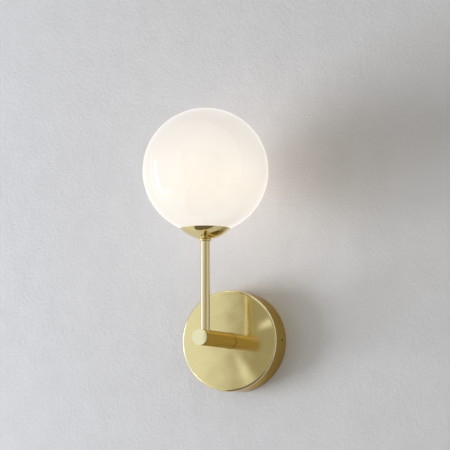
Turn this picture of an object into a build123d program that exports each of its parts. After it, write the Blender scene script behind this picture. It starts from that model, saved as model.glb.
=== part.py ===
from build123d import *
from math import pi, sqrt
import os

os.makedirs("parts", exist_ok=True)

# Globe wall sconce: a round brass canopy on the wall, a short brass arm straight out of it, a thin
# brass stem standing on the arm, and an opal glass globe in a polished cup on top of the stem.
# Millimetres. The origin is on the wall plane, at the canopy's centre. +Z is up, +X is to the right
# and -Y points out of the wall into the room.

# ---- Clearances
FIT_GAP = 0.05  # radial gap of screwed, pressed and sliding fits
LOOSE_GAP = 0.2  # radial gap of holes that only let something through
SEAT_GAP = 0.3  # gap between the glass and the rim of its cup

# ---- Drafting
CUT = 1.0  # how far a cut runs past what it cuts
THREAD_CHAMFER = 0.4
DRIVER_SLOT = 0.6  # width of a screwdriver slot
NUT_CORNER = 0.6  # a nut is turned off inside this share of its flats
SCREW_SHORT = 0.2  # screws through the bracket end this far short of the wall

# ---- Canopy: the shallow round cover against the wall
CANOPY_RADIUS = 62.0
CANOPY_DEPTH = 33.0
CANOPY_WALL = 1.2
CANOPY_FRONT = 1.5  # thickness of its flat front
CANOPY_EDGE = 1.1  # rounding of its front edge
SIDE_SCREW_REACH = 11.5  # from the wall to the two side screws
SIDE_SCREW_RADIUS = 2.0
SIDE_SCREW_LENGTH = 8.5
SIDE_SCREW_SINK = 0.5  # how far the screw ends below the canopy's surface
SIDE_HOLE_GAP = 0.7  # gap round a side screw in the canopy's hole

# ---- Wall bracket: a bent strip screwed to the wall behind the canopy
STRIP_THICKNESS = 1.5
STRIP_WIDTH = 22.0
TAB_WIDTH = 14.0
TAB_HEIGHT = 18.0
TAB_GAP = 2.3  # from a tab to the canopy's inside
BEND_RADIUS = 1.0  # inside radius of the bends
CABLE_HOLE_RADIUS = 6.0
SLOT_REACH = 42.0  # from the middle to each wall slot's centre
SLOT_LENGTH = 12.0
SLOT_WIDTH = 5.0

# ---- Arm: the horizontal tube
ARM_RADIUS = 9.75
ARM_WALL = 1.5
ARM_LENGTH = 92.0  # from the canopy's front to the face of the end cap
CAP_THICKNESS = 1.2
CAP_GROOVE_WIDTH = 1.0  # shadow line behind the end cap
CAP_GROOVE_DEPTH = 1.2
CAP_SPIGOT = 4.5
PLUG_LENGTH = 14.0
PLUG_SPARE = 1.0  # thread left in the plug past the nipple's end
ARM_NIPPLE_RADIUS = 4.95
ARM_NIPPLE_BORE = 3.5
ARM_NIPPLE_END = 1.4  # how far the nipple stands out of its nut
ARM_NUT_FLATS = 17.0
ARM_NUT_HEIGHT = 4.0
WASHER_THICKNESS = 0.8
ARM_TEETH = 14  # notches round the arm's lock washer
ARM_NOTCH = (2.0, 0.8)  # twice the depth of each notch, and its width
BUSH_FLANGE = 1.0
BUSH_LENGTH = 8.0

# ---- Stem: the upright tube
STEM_RADIUS = 5.5
STEM_WALL = 1.5
STEM_LENGTH = 112.3
SOCKET_HALF = 10.0  # half the length of the block that the stem screws into
SOCKET_GAP = 0.8  # between that block and the end cap's spigot
WIREWAY_RADIUS = 3.5
COLLAR_RADIUS = 7.3
COLLAR_HEIGHT = 2.4
COLLAR_SEAT = 1.2  # how deep the stem sits in the collar
COLLAR_EDGE = 0.4
STEM_NIPPLE_BORE = 2.8
STEM_NIPPLE_GRIP = 9.0  # how deep it is screwed into the stem

# ---- Cup: the polished dish under the globe
CUP_RIM_RADIUS = 30.5
CUP_LAND_RADIUS = 7.3  # the flat land that sits on the collar
CUP_DEPTH = 12.65
CUP_WALL = 0.9
CUP_RIM_EDGE = 0.2

# ---- Globe and its seat
GLOBE_RADIUS = 75.0
GLASS_WALL = 3.0
NECK_BORE = 15.5  # radius of the opening
NECK_WALL = 3.5
NECK_EDGE = 0.6
SEAL_THICKNESS = 1.0
FLANGE_RADIUS = 17.5  # the gallery's flange, which carries the seal
GALLERY_GAP = 0.3  # round the gallery's wall, inside the neck, and over the cup
GALLERY_WALL = 1.8
GALLERY_RISE = 6.2  # height of its wall over the seal's seat
GALLERY_FLOOR = 2.2  # thickness of its floor over the cup's land
FLANGE_THICKNESS = 0.8
SPRING_WIRE = 0.6  # radius of the spring ring's wire
SPRING_RISE = 4.2  # height of the spring over the seal's seat
SPRING_SPLIT = 22.0  # degrees left open in its ring

# ---- Lamp holder
CUP_NUT_FLATS = 13.0
CUP_NUT_HEIGHT = 4.0
CUP_TEETH = 12
CUP_NOTCH = (1.6, 0.65)
STEM_NIPPLE_END = 1.0
HOLDER_WIDTH = 17.0
HOLDER_DEPTH = 12.5
HOLDER_HEIGHT = 21.0
HOLDER_LIFT = 1.5  # gap between the nipple's end and the lamp holder
HOLDER_EDGE = 2.5  # rounding of its upright corners
HOLDER_CHAMFER = 0.6
HOLDER_CAVITY = 6.0  # depth of the wire space in its foot
HOLDER_WALL = 2.5  # wall round the wire space, which takes the two screws
EAR_THICKNESS = 1.0
EAR_WIDTH = 9.0
EAR_HEIGHT = 17.0
EAR_BEND = 0.8  # outside radius of its bends
HOLDER_SCREW_RADIUS = 1.5
HOLDER_SCREW_HEAD = 2.6
HOLDER_SCREW_RISE = 3.5  # over the lamp holder's foot
HOLDER_SCREW_STOP = 0.8  # ceramic left past the end of each screw's hole
PIN_PITCH = 9.0
PIN_WIRE = 0.35  # radius of a lamp pin's wire
PIN_LOOP = 3.0  # width of a pin's loop, between wire centres
PIN_LENGTH = 6.5
PIN_BEND = 1.2
SLOT_ROOM = 0.5  # room round a pin in its slot
CONTACT_LEAF = 0.3
CONTACT_SINK = 1.0  # from the lamp holder's top down to the clips

# ---- Lamp: a small two-pin capsule
LAMP_LIFT = 0.2  # gap between the lamp and its holder
LAMP_BASE_WIDTH = 14.0
LAMP_BASE_DEPTH = 9.0
LAMP_BASE_HEIGHT = 8.0
LAMP_RADIUS = 8.0
LAMP_HEIGHT = 39.0
LAMP_WALL = 0.8
LAMP_FLOOR = 1.5
CORE_SIDE = 5.0
CORE_HEIGHT = 28.0
CHIP_SIDE = 2.4
CHIP_THICKNESS = 0.5
CHIP_ROWS = 5

# ---- Wiring
WIRE_RADIUS = 1.0
WIRE_SPACING = 2.6  # between the two cores in the stem and the arm
WIRE_TURN = 6.0  # bend at the foot of the stem
WIRE_BEND = 6.0  # bends inside the canopy
CORE_SETBACK = 13.5  # from the canopy's inside to the upright run of the neutral core
CORE_APART = 4.0  # between the upright runs of the two cores
CORE_ARCH = 15.5  # height of the live core's arch over the terminal block
CORE_CROSSING = 6.0  # the neutral core's arch stands this much higher
WIRE_SPLAY = 5.0  # bends under the lamp holder
EARTH_BEND = 5.0
EARTH_RADIUS = 1.1
POLE_PITCH = 10.0
POLE_MARGIN = 5.0
BLOCK_OFFSET = -18.0  # the terminal block's middle, left of the cable hole
BLOCK_THICKNESS = 13.0
BLOCK_HEIGHT = 17.0
BLOCK_EDGE = 1.0
POLE_RISE = 5.5  # from the bracket to the middle of each pole
TUBE_RADIUS = 2.6
TUBE_BORE = 1.9
TUBE_LENGTH = 14.0
CLAMP_SCREW_RADIUS = 1.3
CLAMP_SCREW_LENGTH = 5.0
CLAMP_SCREW_RISE = 4.0  # above and below the block's middle
BLOCK_SCREW_RADIUS = 1.5
BLOCK_SCREW_HEAD = 2.0
BLOCK_SCREW_LIP = 1.0  # how far its head stands out past its shank
EARTH_SCREW_OFFSET = 16.0
EARTH_SCREW_RADIUS = 1.95
TAG_THICKNESS = 0.8
TAG_RADIUS = 8.0
RING_RADIUS = 4.0
SCREW_HEAD_STEP = 0.4  # the earth screw's head is smaller than the ring by this
BARREL_RADIUS = 1.8
BARREL_LENGTH = 5.5
BARREL_END = 1.0  # metal left at the closed end of a barrel
TAG_REACH = 3.0  # from the tag's round part to its barrel
RING_REACH = 1.0  # from the ring's round part to its barrel
EARTH_SLACK = 4.5  # how far the earth wire runs on past the ring's barrel before it turns back

# ---- Places worked out from the sizes above, outwards along the arm
ARM_BORE = ARM_RADIUS - ARM_WALL
CANOPY_BORE = CANOPY_RADIUS - CANOPY_WALL
CANOPY_INSIDE = CANOPY_FRONT - CANOPY_DEPTH
ARM_FACE = -(CANOPY_DEPTH + ARM_LENGTH)
ARM_TUBE_END = ARM_FACE + CAP_THICKNESS + CAP_GROOVE_WIDTH
STEM_REACH = -(ARM_TUBE_END + CAP_SPIGOT + SOCKET_GAP + SOCKET_HALF)  # from the wall to the stem
TAG_TOP = CANOPY_INSIDE + TAG_THICKNESS
ARM_WASHER_TOP = TAG_TOP + WASHER_THICKNESS
ARM_NUT_TOP = ARM_WASHER_TOP + ARM_NUT_HEIGHT
ARM_NIPPLE_TOP = ARM_NUT_TOP + ARM_NIPPLE_END

# ---- Places worked out upwards along the stem
STEM_BORE = STEM_RADIUS - STEM_WALL
STEM_FOOT = WIREWAY_RADIUS + 2 * FIT_GAP
STEM_TOP = STEM_FOOT + STEM_LENGTH
COLLAR_FOOT = STEM_TOP - COLLAR_SEAT
LAND = COLLAR_FOOT + COLLAR_HEIGHT
STEM_NIPPLE_RADIUS = STEM_BORE - FIT_GAP
RIM = LAND + CUP_DEPTH
# the cup's bowl is part of a sphere about a point on the stem's axis
BOWL_RISE = (CUP_RIM_RADIUS**2 - CUP_LAND_RADIUS**2 - CUP_DEPTH**2) / (2 * CUP_DEPTH)
BOWL_RADIUS = sqrt(CUP_RIM_RADIUS**2 + BOWL_RISE**2)
BOWL_CENTRE = RIM + BOWL_RISE
BOWL_INSIDE = BOWL_RADIUS - CUP_WALL
FLOOR = LAND + CUP_WALL
RIM_INSIDE = sqrt(BOWL_INSIDE**2 - BOWL_RISE**2)
# the globe hangs over the rim by the seat gap
GLOBE_CENTRE = RIM + SEAT_GAP + sqrt(GLOBE_RADIUS**2 - RIM_INSIDE**2)
# the gallery nests in the bowl, a gap above the metal, and the globe's neck reaches down to its seal
NEST_RADIUS = BOWL_INSIDE - GALLERY_GAP
FLANGE_FOOT = BOWL_CENTRE - sqrt(NEST_RADIUS**2 - FLANGE_RADIUS**2)
SEAL_FOOT = FLANGE_FOOT + FLANGE_THICKNESS
NECK_FOOT = SEAL_FOOT + SEAL_THICKNESS
NECK_RADIUS = NECK_BORE + NECK_WALL
GALLERY_RADIUS = NECK_BORE - GALLERY_GAP
GALLERY_INSIDE = GALLERY_RADIUS - GALLERY_WALL
GALLERY_TOP = SEAL_FOOT + GALLERY_RISE
HUB_RADIUS = sqrt(NEST_RADIUS**2 - (BOWL_CENTRE - FLOOR - GALLERY_GAP) ** 2)
GALLERY_FLOOR_TOP = FLOOR + GALLERY_FLOOR
CUP_WASHER_FOOT = GALLERY_FLOOR_TOP + EAR_THICKNESS
CUP_NUT_FOOT = CUP_WASHER_FOOT + WASHER_THICKNESS
CUP_NUT_TOP = CUP_NUT_FOOT + CUP_NUT_HEIGHT
STEM_NIPPLE_TOP = CUP_NUT_TOP + STEM_NIPPLE_END
HOLDER_FOOT = STEM_NIPPLE_TOP + HOLDER_LIFT
HOLDER_TOP = HOLDER_FOOT + HOLDER_HEIGHT
CAVITY_TOP = HOLDER_FOOT + HOLDER_CAVITY
LAMP_FOOT = HOLDER_TOP + LAMP_LIFT
LAMP_SHOULDER = LAMP_FOOT + LAMP_BASE_HEIGHT

STEM_AXIS = Axis((0, -STEM_REACH, 0), (0, 0, 1))
STEM_PLANE = Plane.XZ.offset(STEM_REACH)  # upright section plane through the stem


def ring(outer, inner):
    """A flat ring about the origin of the sketch that is open."""
    Circle(outer)
    Circle(inner, mode=Mode.SUBTRACT)


def level(height):
    """The horizontal plane at that height, centred on the stem."""
    return Plane((0, -STEM_REACH, height), x_dir=(1, 0, 0), z_dir=(0, 0, 1))


def outward(y):
    """The upright plane at that y, centred on the arm and facing into the room."""
    return Plane((0, y, 0), x_dir=(1, 0, 0), z_dir=(0, -1, 0))


def on_sphere(radius, centre, r):
    """The point at distance r from the stem on the lower half of a sphere about the stem's axis."""
    return (r, centre - sqrt(radius**2 - r**2))


def sphere_arc(radius, centre, r_from, r_to):
    """The arc of that sphere's section from one distance to the other."""
    middle = (r_from + r_to) / 2
    return ThreePointArc(*(on_sphere(radius, centre, r) for r in (r_from, middle, r_to)))


def corner_cut(flats, top):
    """The section of the ring that is turned off a nut's corners at its free end."""
    reach = flats * NUT_CORNER
    slope = (reach - flats / 2) / 2
    return [(flats / 2, top + CUT), (flats / 2, top), (reach, top - slope), (reach, top + CUT)]


def save(piece, name):
    """Labels a finished piece and writes its file."""
    piece.part.label = name
    export_step(piece.part, f"parts/{name}.step")


# ======== On the wall ========

# Wall bracket: a strip with its two ends bent out of the wall, the cable hole and two slots
TAB_FACE = CANOPY_BORE - TAB_GAP
with BuildPart() as wall_bracket:
    with BuildSketch(Plane.XY):
        Polygon(
            (-TAB_FACE, -TAB_HEIGHT),
            (-TAB_FACE, 0),
            (TAB_FACE, 0),
            (TAB_FACE, -TAB_HEIGHT),
            (TAB_FACE - STRIP_THICKNESS, -TAB_HEIGHT),
            (TAB_FACE - STRIP_THICKNESS, -STRIP_THICKNESS),
            (STRIP_THICKNESS - TAB_FACE, -STRIP_THICKNESS),
            (STRIP_THICKNESS - TAB_FACE, -TAB_HEIGHT),
            align=None,
        )
        by_y = vertices().group_by(Axis.Y)
        fillet(by_y[-1], BEND_RADIUS + STRIP_THICKNESS)
        fillet(by_y[-2], BEND_RADIUS)
    extrude(amount=STRIP_WIDTH / 2, both=True)
    # the tabs are narrower than the strip, and their corners are rounded
    with BuildSketch(Plane.YZ):
        with Locations(*((-TAB_HEIGHT / 2, side * (TAB_WIDTH + STRIP_WIDTH) / 4) for side in (1, -1))):
            Rectangle(TAB_HEIGHT - 2 * (BEND_RADIUS + STRIP_THICKNESS), (STRIP_WIDTH - TAB_WIDTH) / 2)
    extrude(amount=TAB_FACE + CUT, both=True, mode=Mode.SUBTRACT)
    with BuildSketch(Plane.YZ):
        with Locations((-SIDE_SCREW_REACH, 0)):
            Circle(SIDE_SCREW_RADIUS + FIT_GAP)
    extrude(amount=TAB_FACE + CUT, both=True, mode=Mode.SUBTRACT)
    with BuildSketch(outward(0)):
        Circle(CABLE_HOLE_RADIUS)
        with Locations((-SLOT_REACH, 0), (SLOT_REACH, 0)):
            SlotOverall(SLOT_LENGTH, SLOT_WIDTH)
        with Locations((EARTH_SCREW_OFFSET, 0)):
            Circle(EARTH_SCREW_RADIUS + FIT_GAP)
        with Locations((BLOCK_OFFSET, 0)):
            Circle(BLOCK_SCREW_RADIUS + FIT_GAP)
    extrude(amount=STRIP_THICKNESS, mode=Mode.SUBTRACT)
save(wall_bracket, "wall_bracket")

# Canopy: a drawn brass pan, open to the wall
CANOPY_HOLE = ARM_NIPPLE_RADIUS + LOOSE_GAP
with BuildPart() as canopy:
    with BuildSketch(Plane.XY):
        Polygon(
            (CANOPY_HOLE, -CANOPY_DEPTH),
            (CANOPY_RADIUS, -CANOPY_DEPTH),
            (CANOPY_RADIUS, 0),
            (CANOPY_BORE, 0),
            (CANOPY_BORE, CANOPY_INSIDE),
            (CANOPY_HOLE, CANOPY_INSIDE),
            align=None,
        )
        fillet(vertices().group_by(Axis.Y)[0].sort_by(Axis.X)[-1], CANOPY_EDGE)
    revolve(axis=Axis.Y)
    with BuildSketch(Plane.YZ):
        with Locations((-SIDE_SCREW_REACH, 0)):
            Circle(SIDE_SCREW_RADIUS + SIDE_HOLE_GAP)
    extrude(amount=CANOPY_RADIUS + CUT, both=True, mode=Mode.SUBTRACT)
save(canopy, "canopy")

# Side screws: two headless screws that pin the canopy to the bracket's tabs
SOCKET_FLATS = SIDE_SCREW_RADIUS  # the hexagon's width across flats is half the screw's width
with BuildPart() as side_screws:
    with BuildSketch(Plane.YZ.offset(CANOPY_RADIUS - SIDE_SCREW_SINK)):
        with Locations((-SIDE_SCREW_REACH, 0)):
            Circle(SIDE_SCREW_RADIUS)
    extrude(amount=-SIDE_SCREW_LENGTH)
    chamfer(edges().group_by(Axis.X)[0], SIDE_SCREW_RADIUS / 2)
    chamfer(edges().group_by(Axis.X)[-1], SIDE_SCREW_RADIUS / 8)
    with BuildSketch(Plane.YZ.offset(CANOPY_RADIUS - SIDE_SCREW_SINK)):
        with Locations((-SIDE_SCREW_REACH, 0)):
            RegularPolygon(SOCKET_FLATS / 2, 6, major_radius=False)
    extrude(amount=-SIDE_SCREW_RADIUS, mode=Mode.SUBTRACT)
    mirror(about=Plane.YZ)
save(side_screws, "side_screws")

# ======== Arm ========

# Arm tube: straight out of the canopy's front, with a hole in its top for the stem
with BuildPart() as arm_tube:
    with BuildSketch(outward(-CANOPY_DEPTH)):
        ring(ARM_RADIUS, ARM_BORE)
    extrude(amount=-CANOPY_DEPTH - ARM_TUBE_END)
    with BuildSketch(level(0)):
        Circle(STEM_RADIUS + FIT_GAP)
    extrude(amount=ARM_RADIUS + CUT, mode=Mode.SUBTRACT)
save(arm_tube, "arm_tube")

# Rear plug: fixed in the tube's wall end and threaded for the nipple
with BuildPart() as arm_rear_plug:
    with BuildSketch(outward(-CANOPY_DEPTH)):
        ring(ARM_BORE - FIT_GAP, ARM_NIPPLE_RADIUS + FIT_GAP)
    extrude(amount=PLUG_LENGTH)
    chamfer(edges().group_by(Axis.Y)[0], THREAD_CHAMFER)
save(arm_rear_plug, "arm_rear_plug")

# Arm nipple: the hollow threaded rod that clamps the arm to the canopy
with BuildPart() as arm_nipple:
    with BuildSketch(outward(ARM_NIPPLE_TOP)):
        ring(ARM_NIPPLE_RADIUS, ARM_NIPPLE_BORE)
    extrude(amount=ARM_NIPPLE_TOP + CANOPY_DEPTH + PLUG_LENGTH - PLUG_SPARE)
    chamfer(edges().group_by(Axis.Y)[-1].sort_by(SortBy.LENGTH)[-1], THREAD_CHAMFER)
save(arm_nipple, "arm_nipple")

# Earth tag: a flat ring under the nut, with a barrel crimped on the earth wire
TAG_BARREL = TAG_RADIUS + TAG_REACH
TAG_BARREL_Y = CANOPY_INSIDE + BARREL_RADIUS + 2 * FIT_GAP
with BuildPart() as earth_tag:
    with BuildSketch(outward(TAG_TOP)):
        Circle(TAG_RADIUS)
        with Locations(((TAG_BARREL + BARREL_END) / 2, 0)):
            Rectangle(TAG_BARREL + BARREL_END, BARREL_RADIUS * 2)
        Circle(ARM_NIPPLE_RADIUS + FIT_GAP, mode=Mode.SUBTRACT)
    extrude(amount=TAG_THICKNESS)
    with BuildSketch(Plane.YZ.offset(TAG_BARREL)):
        with Locations((TAG_BARREL_Y, 0)):
            Circle(BARREL_RADIUS)
    extrude(amount=BARREL_LENGTH)
    with BuildSketch(Plane.YZ.offset(TAG_BARREL + BARREL_LENGTH)):
        with Locations((TAG_BARREL_Y, 0)):
            Circle(EARTH_RADIUS + FIT_GAP)
    extrude(amount=BARREL_END - BARREL_LENGTH, mode=Mode.SUBTRACT)
save(earth_tag, "earth_tag")

# Arm lock washer: toothed all round, between the tag and the nut
with BuildPart() as arm_lock_washer:
    with BuildSketch(outward(ARM_WASHER_TOP)):
        ring(TAG_RADIUS, ARM_NIPPLE_RADIUS + FIT_GAP)
        with PolarLocations(TAG_RADIUS, ARM_TEETH):
            Rectangle(*ARM_NOTCH, mode=Mode.SUBTRACT)
    extrude(amount=WASHER_THICKNESS)
save(arm_lock_washer, "arm_lock_washer")

# Arm lock nut
with BuildPart() as arm_lock_nut:
    with BuildSketch(outward(ARM_NUT_TOP)):
        RegularPolygon(ARM_NUT_FLATS / 2, 6, major_radius=False)
        Circle(ARM_NIPPLE_RADIUS + FIT_GAP, mode=Mode.SUBTRACT)
    extrude(amount=ARM_NUT_HEIGHT)
    # the corners are turned off at the free end
    with BuildSketch(Plane.XY):
        Polygon(*corner_cut(ARM_NUT_FLATS, ARM_NUT_TOP), align=None)
    revolve(axis=Axis.Y, mode=Mode.SUBTRACT)
save(arm_lock_nut, "arm_lock_nut")

# Nipple bush: a plastic lining that keeps the wires off the nipple's edge
BUSH_BORE = WIRE_SPACING / 2 + WIRE_RADIUS + LOOSE_GAP
with BuildPart() as nipple_bush:
    with BuildSketch(outward(ARM_NIPPLE_TOP)):
        ring(ARM_NIPPLE_BORE - FIT_GAP, BUSH_BORE)
    extrude(amount=BUSH_LENGTH)
    with BuildSketch(outward(ARM_NIPPLE_TOP)):
        ring(ARM_NIPPLE_RADIUS, BUSH_BORE)
    extrude(amount=-BUSH_FLANGE)
save(nipple_bush, "nipple_bush")

# Stem socket: a turned block inside the arm, threaded for the stem, with a bent way for the wires
with BuildPart() as stem_socket:
    with BuildSketch(outward(SOCKET_HALF - STEM_REACH)):
        Circle(ARM_BORE - FIT_GAP)
    extrude(amount=2 * SOCKET_HALF)
    with BuildSketch(outward(SOCKET_HALF - STEM_REACH)):
        Circle(WIREWAY_RADIUS)
    extrude(amount=SOCKET_HALF, mode=Mode.SUBTRACT)
    with BuildSketch(level(-WIREWAY_RADIUS)):
        Circle(WIREWAY_RADIUS)
    extrude(amount=WIREWAY_RADIUS + STEM_FOOT, mode=Mode.SUBTRACT)
    with BuildSketch(level(STEM_FOOT)):
        Circle(STEM_RADIUS + FIT_GAP)
    extrude(amount=ARM_RADIUS, mode=Mode.SUBTRACT)
save(stem_socket, "stem_socket")

# Arm end cap: a turned disc with a shadow groove behind it and a spigot in the tube
with BuildPart() as arm_end_cap:
    with BuildSketch(Plane.XY):
        Polygon(
            (0, ARM_FACE),
            (ARM_RADIUS, ARM_FACE),
            (ARM_RADIUS, ARM_FACE + CAP_THICKNESS),
            (ARM_RADIUS - CAP_GROOVE_DEPTH, ARM_FACE + CAP_THICKNESS),
            (ARM_RADIUS - CAP_GROOVE_DEPTH, ARM_TUBE_END),
            (ARM_BORE - FIT_GAP, ARM_TUBE_END),
            (ARM_BORE - FIT_GAP, ARM_TUBE_END + CAP_SPIGOT),
            (0, ARM_TUBE_END + CAP_SPIGOT),
            align=None,
        )
    revolve(axis=Axis.Y)
    chamfer(edges().group_by(Axis.Y)[0], CAP_THICKNESS / 5)
save(arm_end_cap, "arm_end_cap")

# ======== Stem ========

with BuildPart() as stem_tube:
    with BuildSketch(level(STEM_FOOT)):
        ring(STEM_RADIUS, STEM_BORE)
    extrude(amount=STEM_LENGTH)
save(stem_tube, "stem_tube")

# Stem collar: the small ring between the stem and the cup
with BuildPart() as stem_collar:
    with BuildSketch(STEM_PLANE):
        Polygon(
            (STEM_RADIUS + FIT_GAP, COLLAR_FOOT),
            (COLLAR_RADIUS, COLLAR_FOOT),
            (COLLAR_RADIUS, LAND),
            (STEM_BORE + FIT_GAP, LAND),
            (STEM_BORE + FIT_GAP, STEM_TOP),
            (STEM_RADIUS + FIT_GAP, STEM_TOP),
            align=None,
        )
        fillet(vertices().group_by(Axis.X)[-1], COLLAR_EDGE)
    revolve(axis=STEM_AXIS)
save(stem_collar, "stem_collar")

# Stem nipple: the hollow threaded rod that clamps the cup, the gallery and the lamp holder's bracket
with BuildPart() as stem_nipple:
    with BuildSketch(level(STEM_TOP - STEM_NIPPLE_GRIP)):
        ring(STEM_NIPPLE_RADIUS, STEM_NIPPLE_BORE)
    extrude(amount=STEM_NIPPLE_TOP - STEM_TOP + STEM_NIPPLE_GRIP)
    chamfer(edges().group_by(Axis.Z)[-1].sort_by(SortBy.LENGTH)[-1], THREAD_CHAMFER)
save(stem_nipple, "stem_nipple")

# ======== Cup, gallery and globe ========

# Shade cup: a polished dish, its bowl part of a sphere, with a flat land on the collar
LAND_INSIDE = sqrt(BOWL_INSIDE**2 - (BOWL_CENTRE - FLOOR) ** 2)
with BuildPart() as shade_cup:
    with BuildSketch(STEM_PLANE):
        with BuildLine():
            Line((STEM_BORE + FIT_GAP, LAND), (CUP_LAND_RADIUS, LAND))
            sphere_arc(BOWL_RADIUS, BOWL_CENTRE, CUP_LAND_RADIUS, CUP_RIM_RADIUS)
            Line((CUP_RIM_RADIUS, RIM), (RIM_INSIDE, RIM))
            sphere_arc(BOWL_INSIDE, BOWL_CENTRE, RIM_INSIDE, LAND_INSIDE)
            Line((LAND_INSIDE, FLOOR), (STEM_BORE + FIT_GAP, FLOOR))
            Line((STEM_BORE + FIT_GAP, FLOOR), (STEM_BORE + FIT_GAP, LAND))
        make_face()
        fillet(vertices().group_by(Axis.Y)[-1], CUP_RIM_EDGE)
    revolve(axis=STEM_AXIS)
save(shade_cup, "shade_cup")

# Shade gallery: a turned seat nested in the cup, whose wall stands inside the globe's neck
with BuildPart() as shade_gallery:
    with BuildSketch(STEM_PLANE):
        with BuildLine():
            Polyline(
                (HUB_RADIUS, FLOOR + GALLERY_GAP),
                (LAND_INSIDE - GALLERY_GAP, FLOOR + GALLERY_GAP),
                (LAND_INSIDE - GALLERY_GAP, FLOOR),
                (STEM_BORE + FIT_GAP, FLOOR),
                (STEM_BORE + FIT_GAP, GALLERY_FLOOR_TOP),
                (GALLERY_INSIDE, GALLERY_FLOOR_TOP),
                (GALLERY_INSIDE, GALLERY_TOP),
                (GALLERY_RADIUS, GALLERY_TOP),
                (GALLERY_RADIUS, SEAL_FOOT),
                (FLANGE_RADIUS, SEAL_FOOT),
                on_sphere(NEST_RADIUS, BOWL_CENTRE, FLANGE_RADIUS),
            )
            sphere_arc(NEST_RADIUS, BOWL_CENTRE, FLANGE_RADIUS, HUB_RADIUS)
        make_face()
        # groove for the spring ring
        with Locations((NECK_BORE - FIT_GAP - SPRING_WIRE, SEAL_FOOT + SPRING_RISE)):
            Circle(SPRING_WIRE + FIT_GAP, mode=Mode.SUBTRACT)
            with Locations((SPRING_WIRE, 0)):
                Rectangle(2 * SPRING_WIRE, 2 * (SPRING_WIRE + FIT_GAP), mode=Mode.SUBTRACT)
    revolve(axis=STEM_AXIS)
save(shade_gallery, "shade_gallery")

# Globe spring: a split wire ring in the gallery's groove that grips the inside of the neck
with BuildPart() as globe_spring:
    with BuildSketch(STEM_PLANE):
        with Locations((NECK_BORE - FIT_GAP - SPRING_WIRE, SEAL_FOOT + SPRING_RISE)):
            Circle(SPRING_WIRE)
    revolve(axis=STEM_AXIS, revolution_arc=360 - SPRING_SPLIT)
save(globe_spring, "globe_spring")

# Globe seal: a soft ring on the gallery's flange, under the neck
with BuildPart() as globe_seal:
    with BuildSketch(level(SEAL_FOOT)):
        ring(FLANGE_RADIUS, GALLERY_RADIUS + FIT_GAP)
    extrude(amount=SEAL_THICKNESS)
save(globe_seal, "globe_seal")

# Glass globe: a blown sphere with a short neck at its foot
GLASS_INSIDE = GLOBE_RADIUS - GLASS_WALL
with BuildPart() as glass_globe:
    with BuildSketch(STEM_PLANE):
        with BuildLine():
            Polyline(
                on_sphere(GLASS_INSIDE, GLOBE_CENTRE, NECK_BORE),
                (NECK_BORE, NECK_FOOT),
                (NECK_RADIUS, NECK_FOOT),
                on_sphere(GLOBE_RADIUS, GLOBE_CENTRE, NECK_RADIUS),
            )
            ThreePointArc(
                on_sphere(GLOBE_RADIUS, GLOBE_CENTRE, NECK_RADIUS),
                (GLOBE_RADIUS, GLOBE_CENTRE),
                (0, GLOBE_CENTRE + GLOBE_RADIUS),
            )
            Line((0, GLOBE_CENTRE + GLOBE_RADIUS), (0, GLOBE_CENTRE + GLASS_INSIDE))
            ThreePointArc(
                (0, GLOBE_CENTRE + GLASS_INSIDE),
                (GLASS_INSIDE, GLOBE_CENTRE),
                on_sphere(GLASS_INSIDE, GLOBE_CENTRE, NECK_BORE),
            )
        make_face()
        fillet(vertices().group_by(Axis.Y)[0], NECK_EDGE)
    revolve(axis=STEM_AXIS)
save(glass_globe, "glass_globe")

# ======== Lamp holder ========

# Lamp holder bracket: a bent strip under the nut, whose two ears carry the lamp holder
EAR_INSIDE = HOLDER_WIDTH / 2 + 2 * FIT_GAP
EAR_OUTSIDE = EAR_INSIDE + EAR_THICKNESS
with BuildPart() as lampholder_bracket:
    with BuildSketch(STEM_PLANE):
        Polygon(
            (-EAR_OUTSIDE, GALLERY_FLOOR_TOP),
            (EAR_OUTSIDE, GALLERY_FLOOR_TOP),
            (EAR_OUTSIDE, GALLERY_FLOOR_TOP + EAR_HEIGHT),
            (EAR_INSIDE, GALLERY_FLOOR_TOP + EAR_HEIGHT),
            (EAR_INSIDE, CUP_WASHER_FOOT),
            (-EAR_INSIDE, CUP_WASHER_FOOT),
            (-EAR_INSIDE, GALLERY_FLOOR_TOP + EAR_HEIGHT),
            (-EAR_OUTSIDE, GALLERY_FLOOR_TOP + EAR_HEIGHT),
            align=None,
        )
        fillet(vertices().group_by(Axis.Y)[0], EAR_BEND)
    extrude(amount=EAR_WIDTH / 2, both=True)
    with BuildSketch(level(GALLERY_FLOOR_TOP)):
        Circle(STEM_NIPPLE_RADIUS + FIT_GAP)
    extrude(amount=EAR_THICKNESS, mode=Mode.SUBTRACT)
    with BuildSketch(Plane.YZ):
        with Locations((-STEM_REACH, HOLDER_FOOT + HOLDER_SCREW_RISE)):
            Circle(HOLDER_SCREW_RADIUS + FIT_GAP)
    extrude(amount=EAR_OUTSIDE + CUT, both=True, mode=Mode.SUBTRACT)
save(lampholder_bracket, "lampholder_bracket")

# Cup lock washer and nut: they clamp everything above the collar
with BuildPart() as cup_lock_washer:
    with BuildSketch(level(CUP_WASHER_FOOT)):
        ring(CUP_NUT_FLATS / 2, STEM_NIPPLE_RADIUS + FIT_GAP)
        with PolarLocations(CUP_NUT_FLATS / 2, CUP_TEETH):
            Rectangle(*CUP_NOTCH, mode=Mode.SUBTRACT)
    extrude(amount=WASHER_THICKNESS)
save(cup_lock_washer, "cup_lock_washer")

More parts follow.
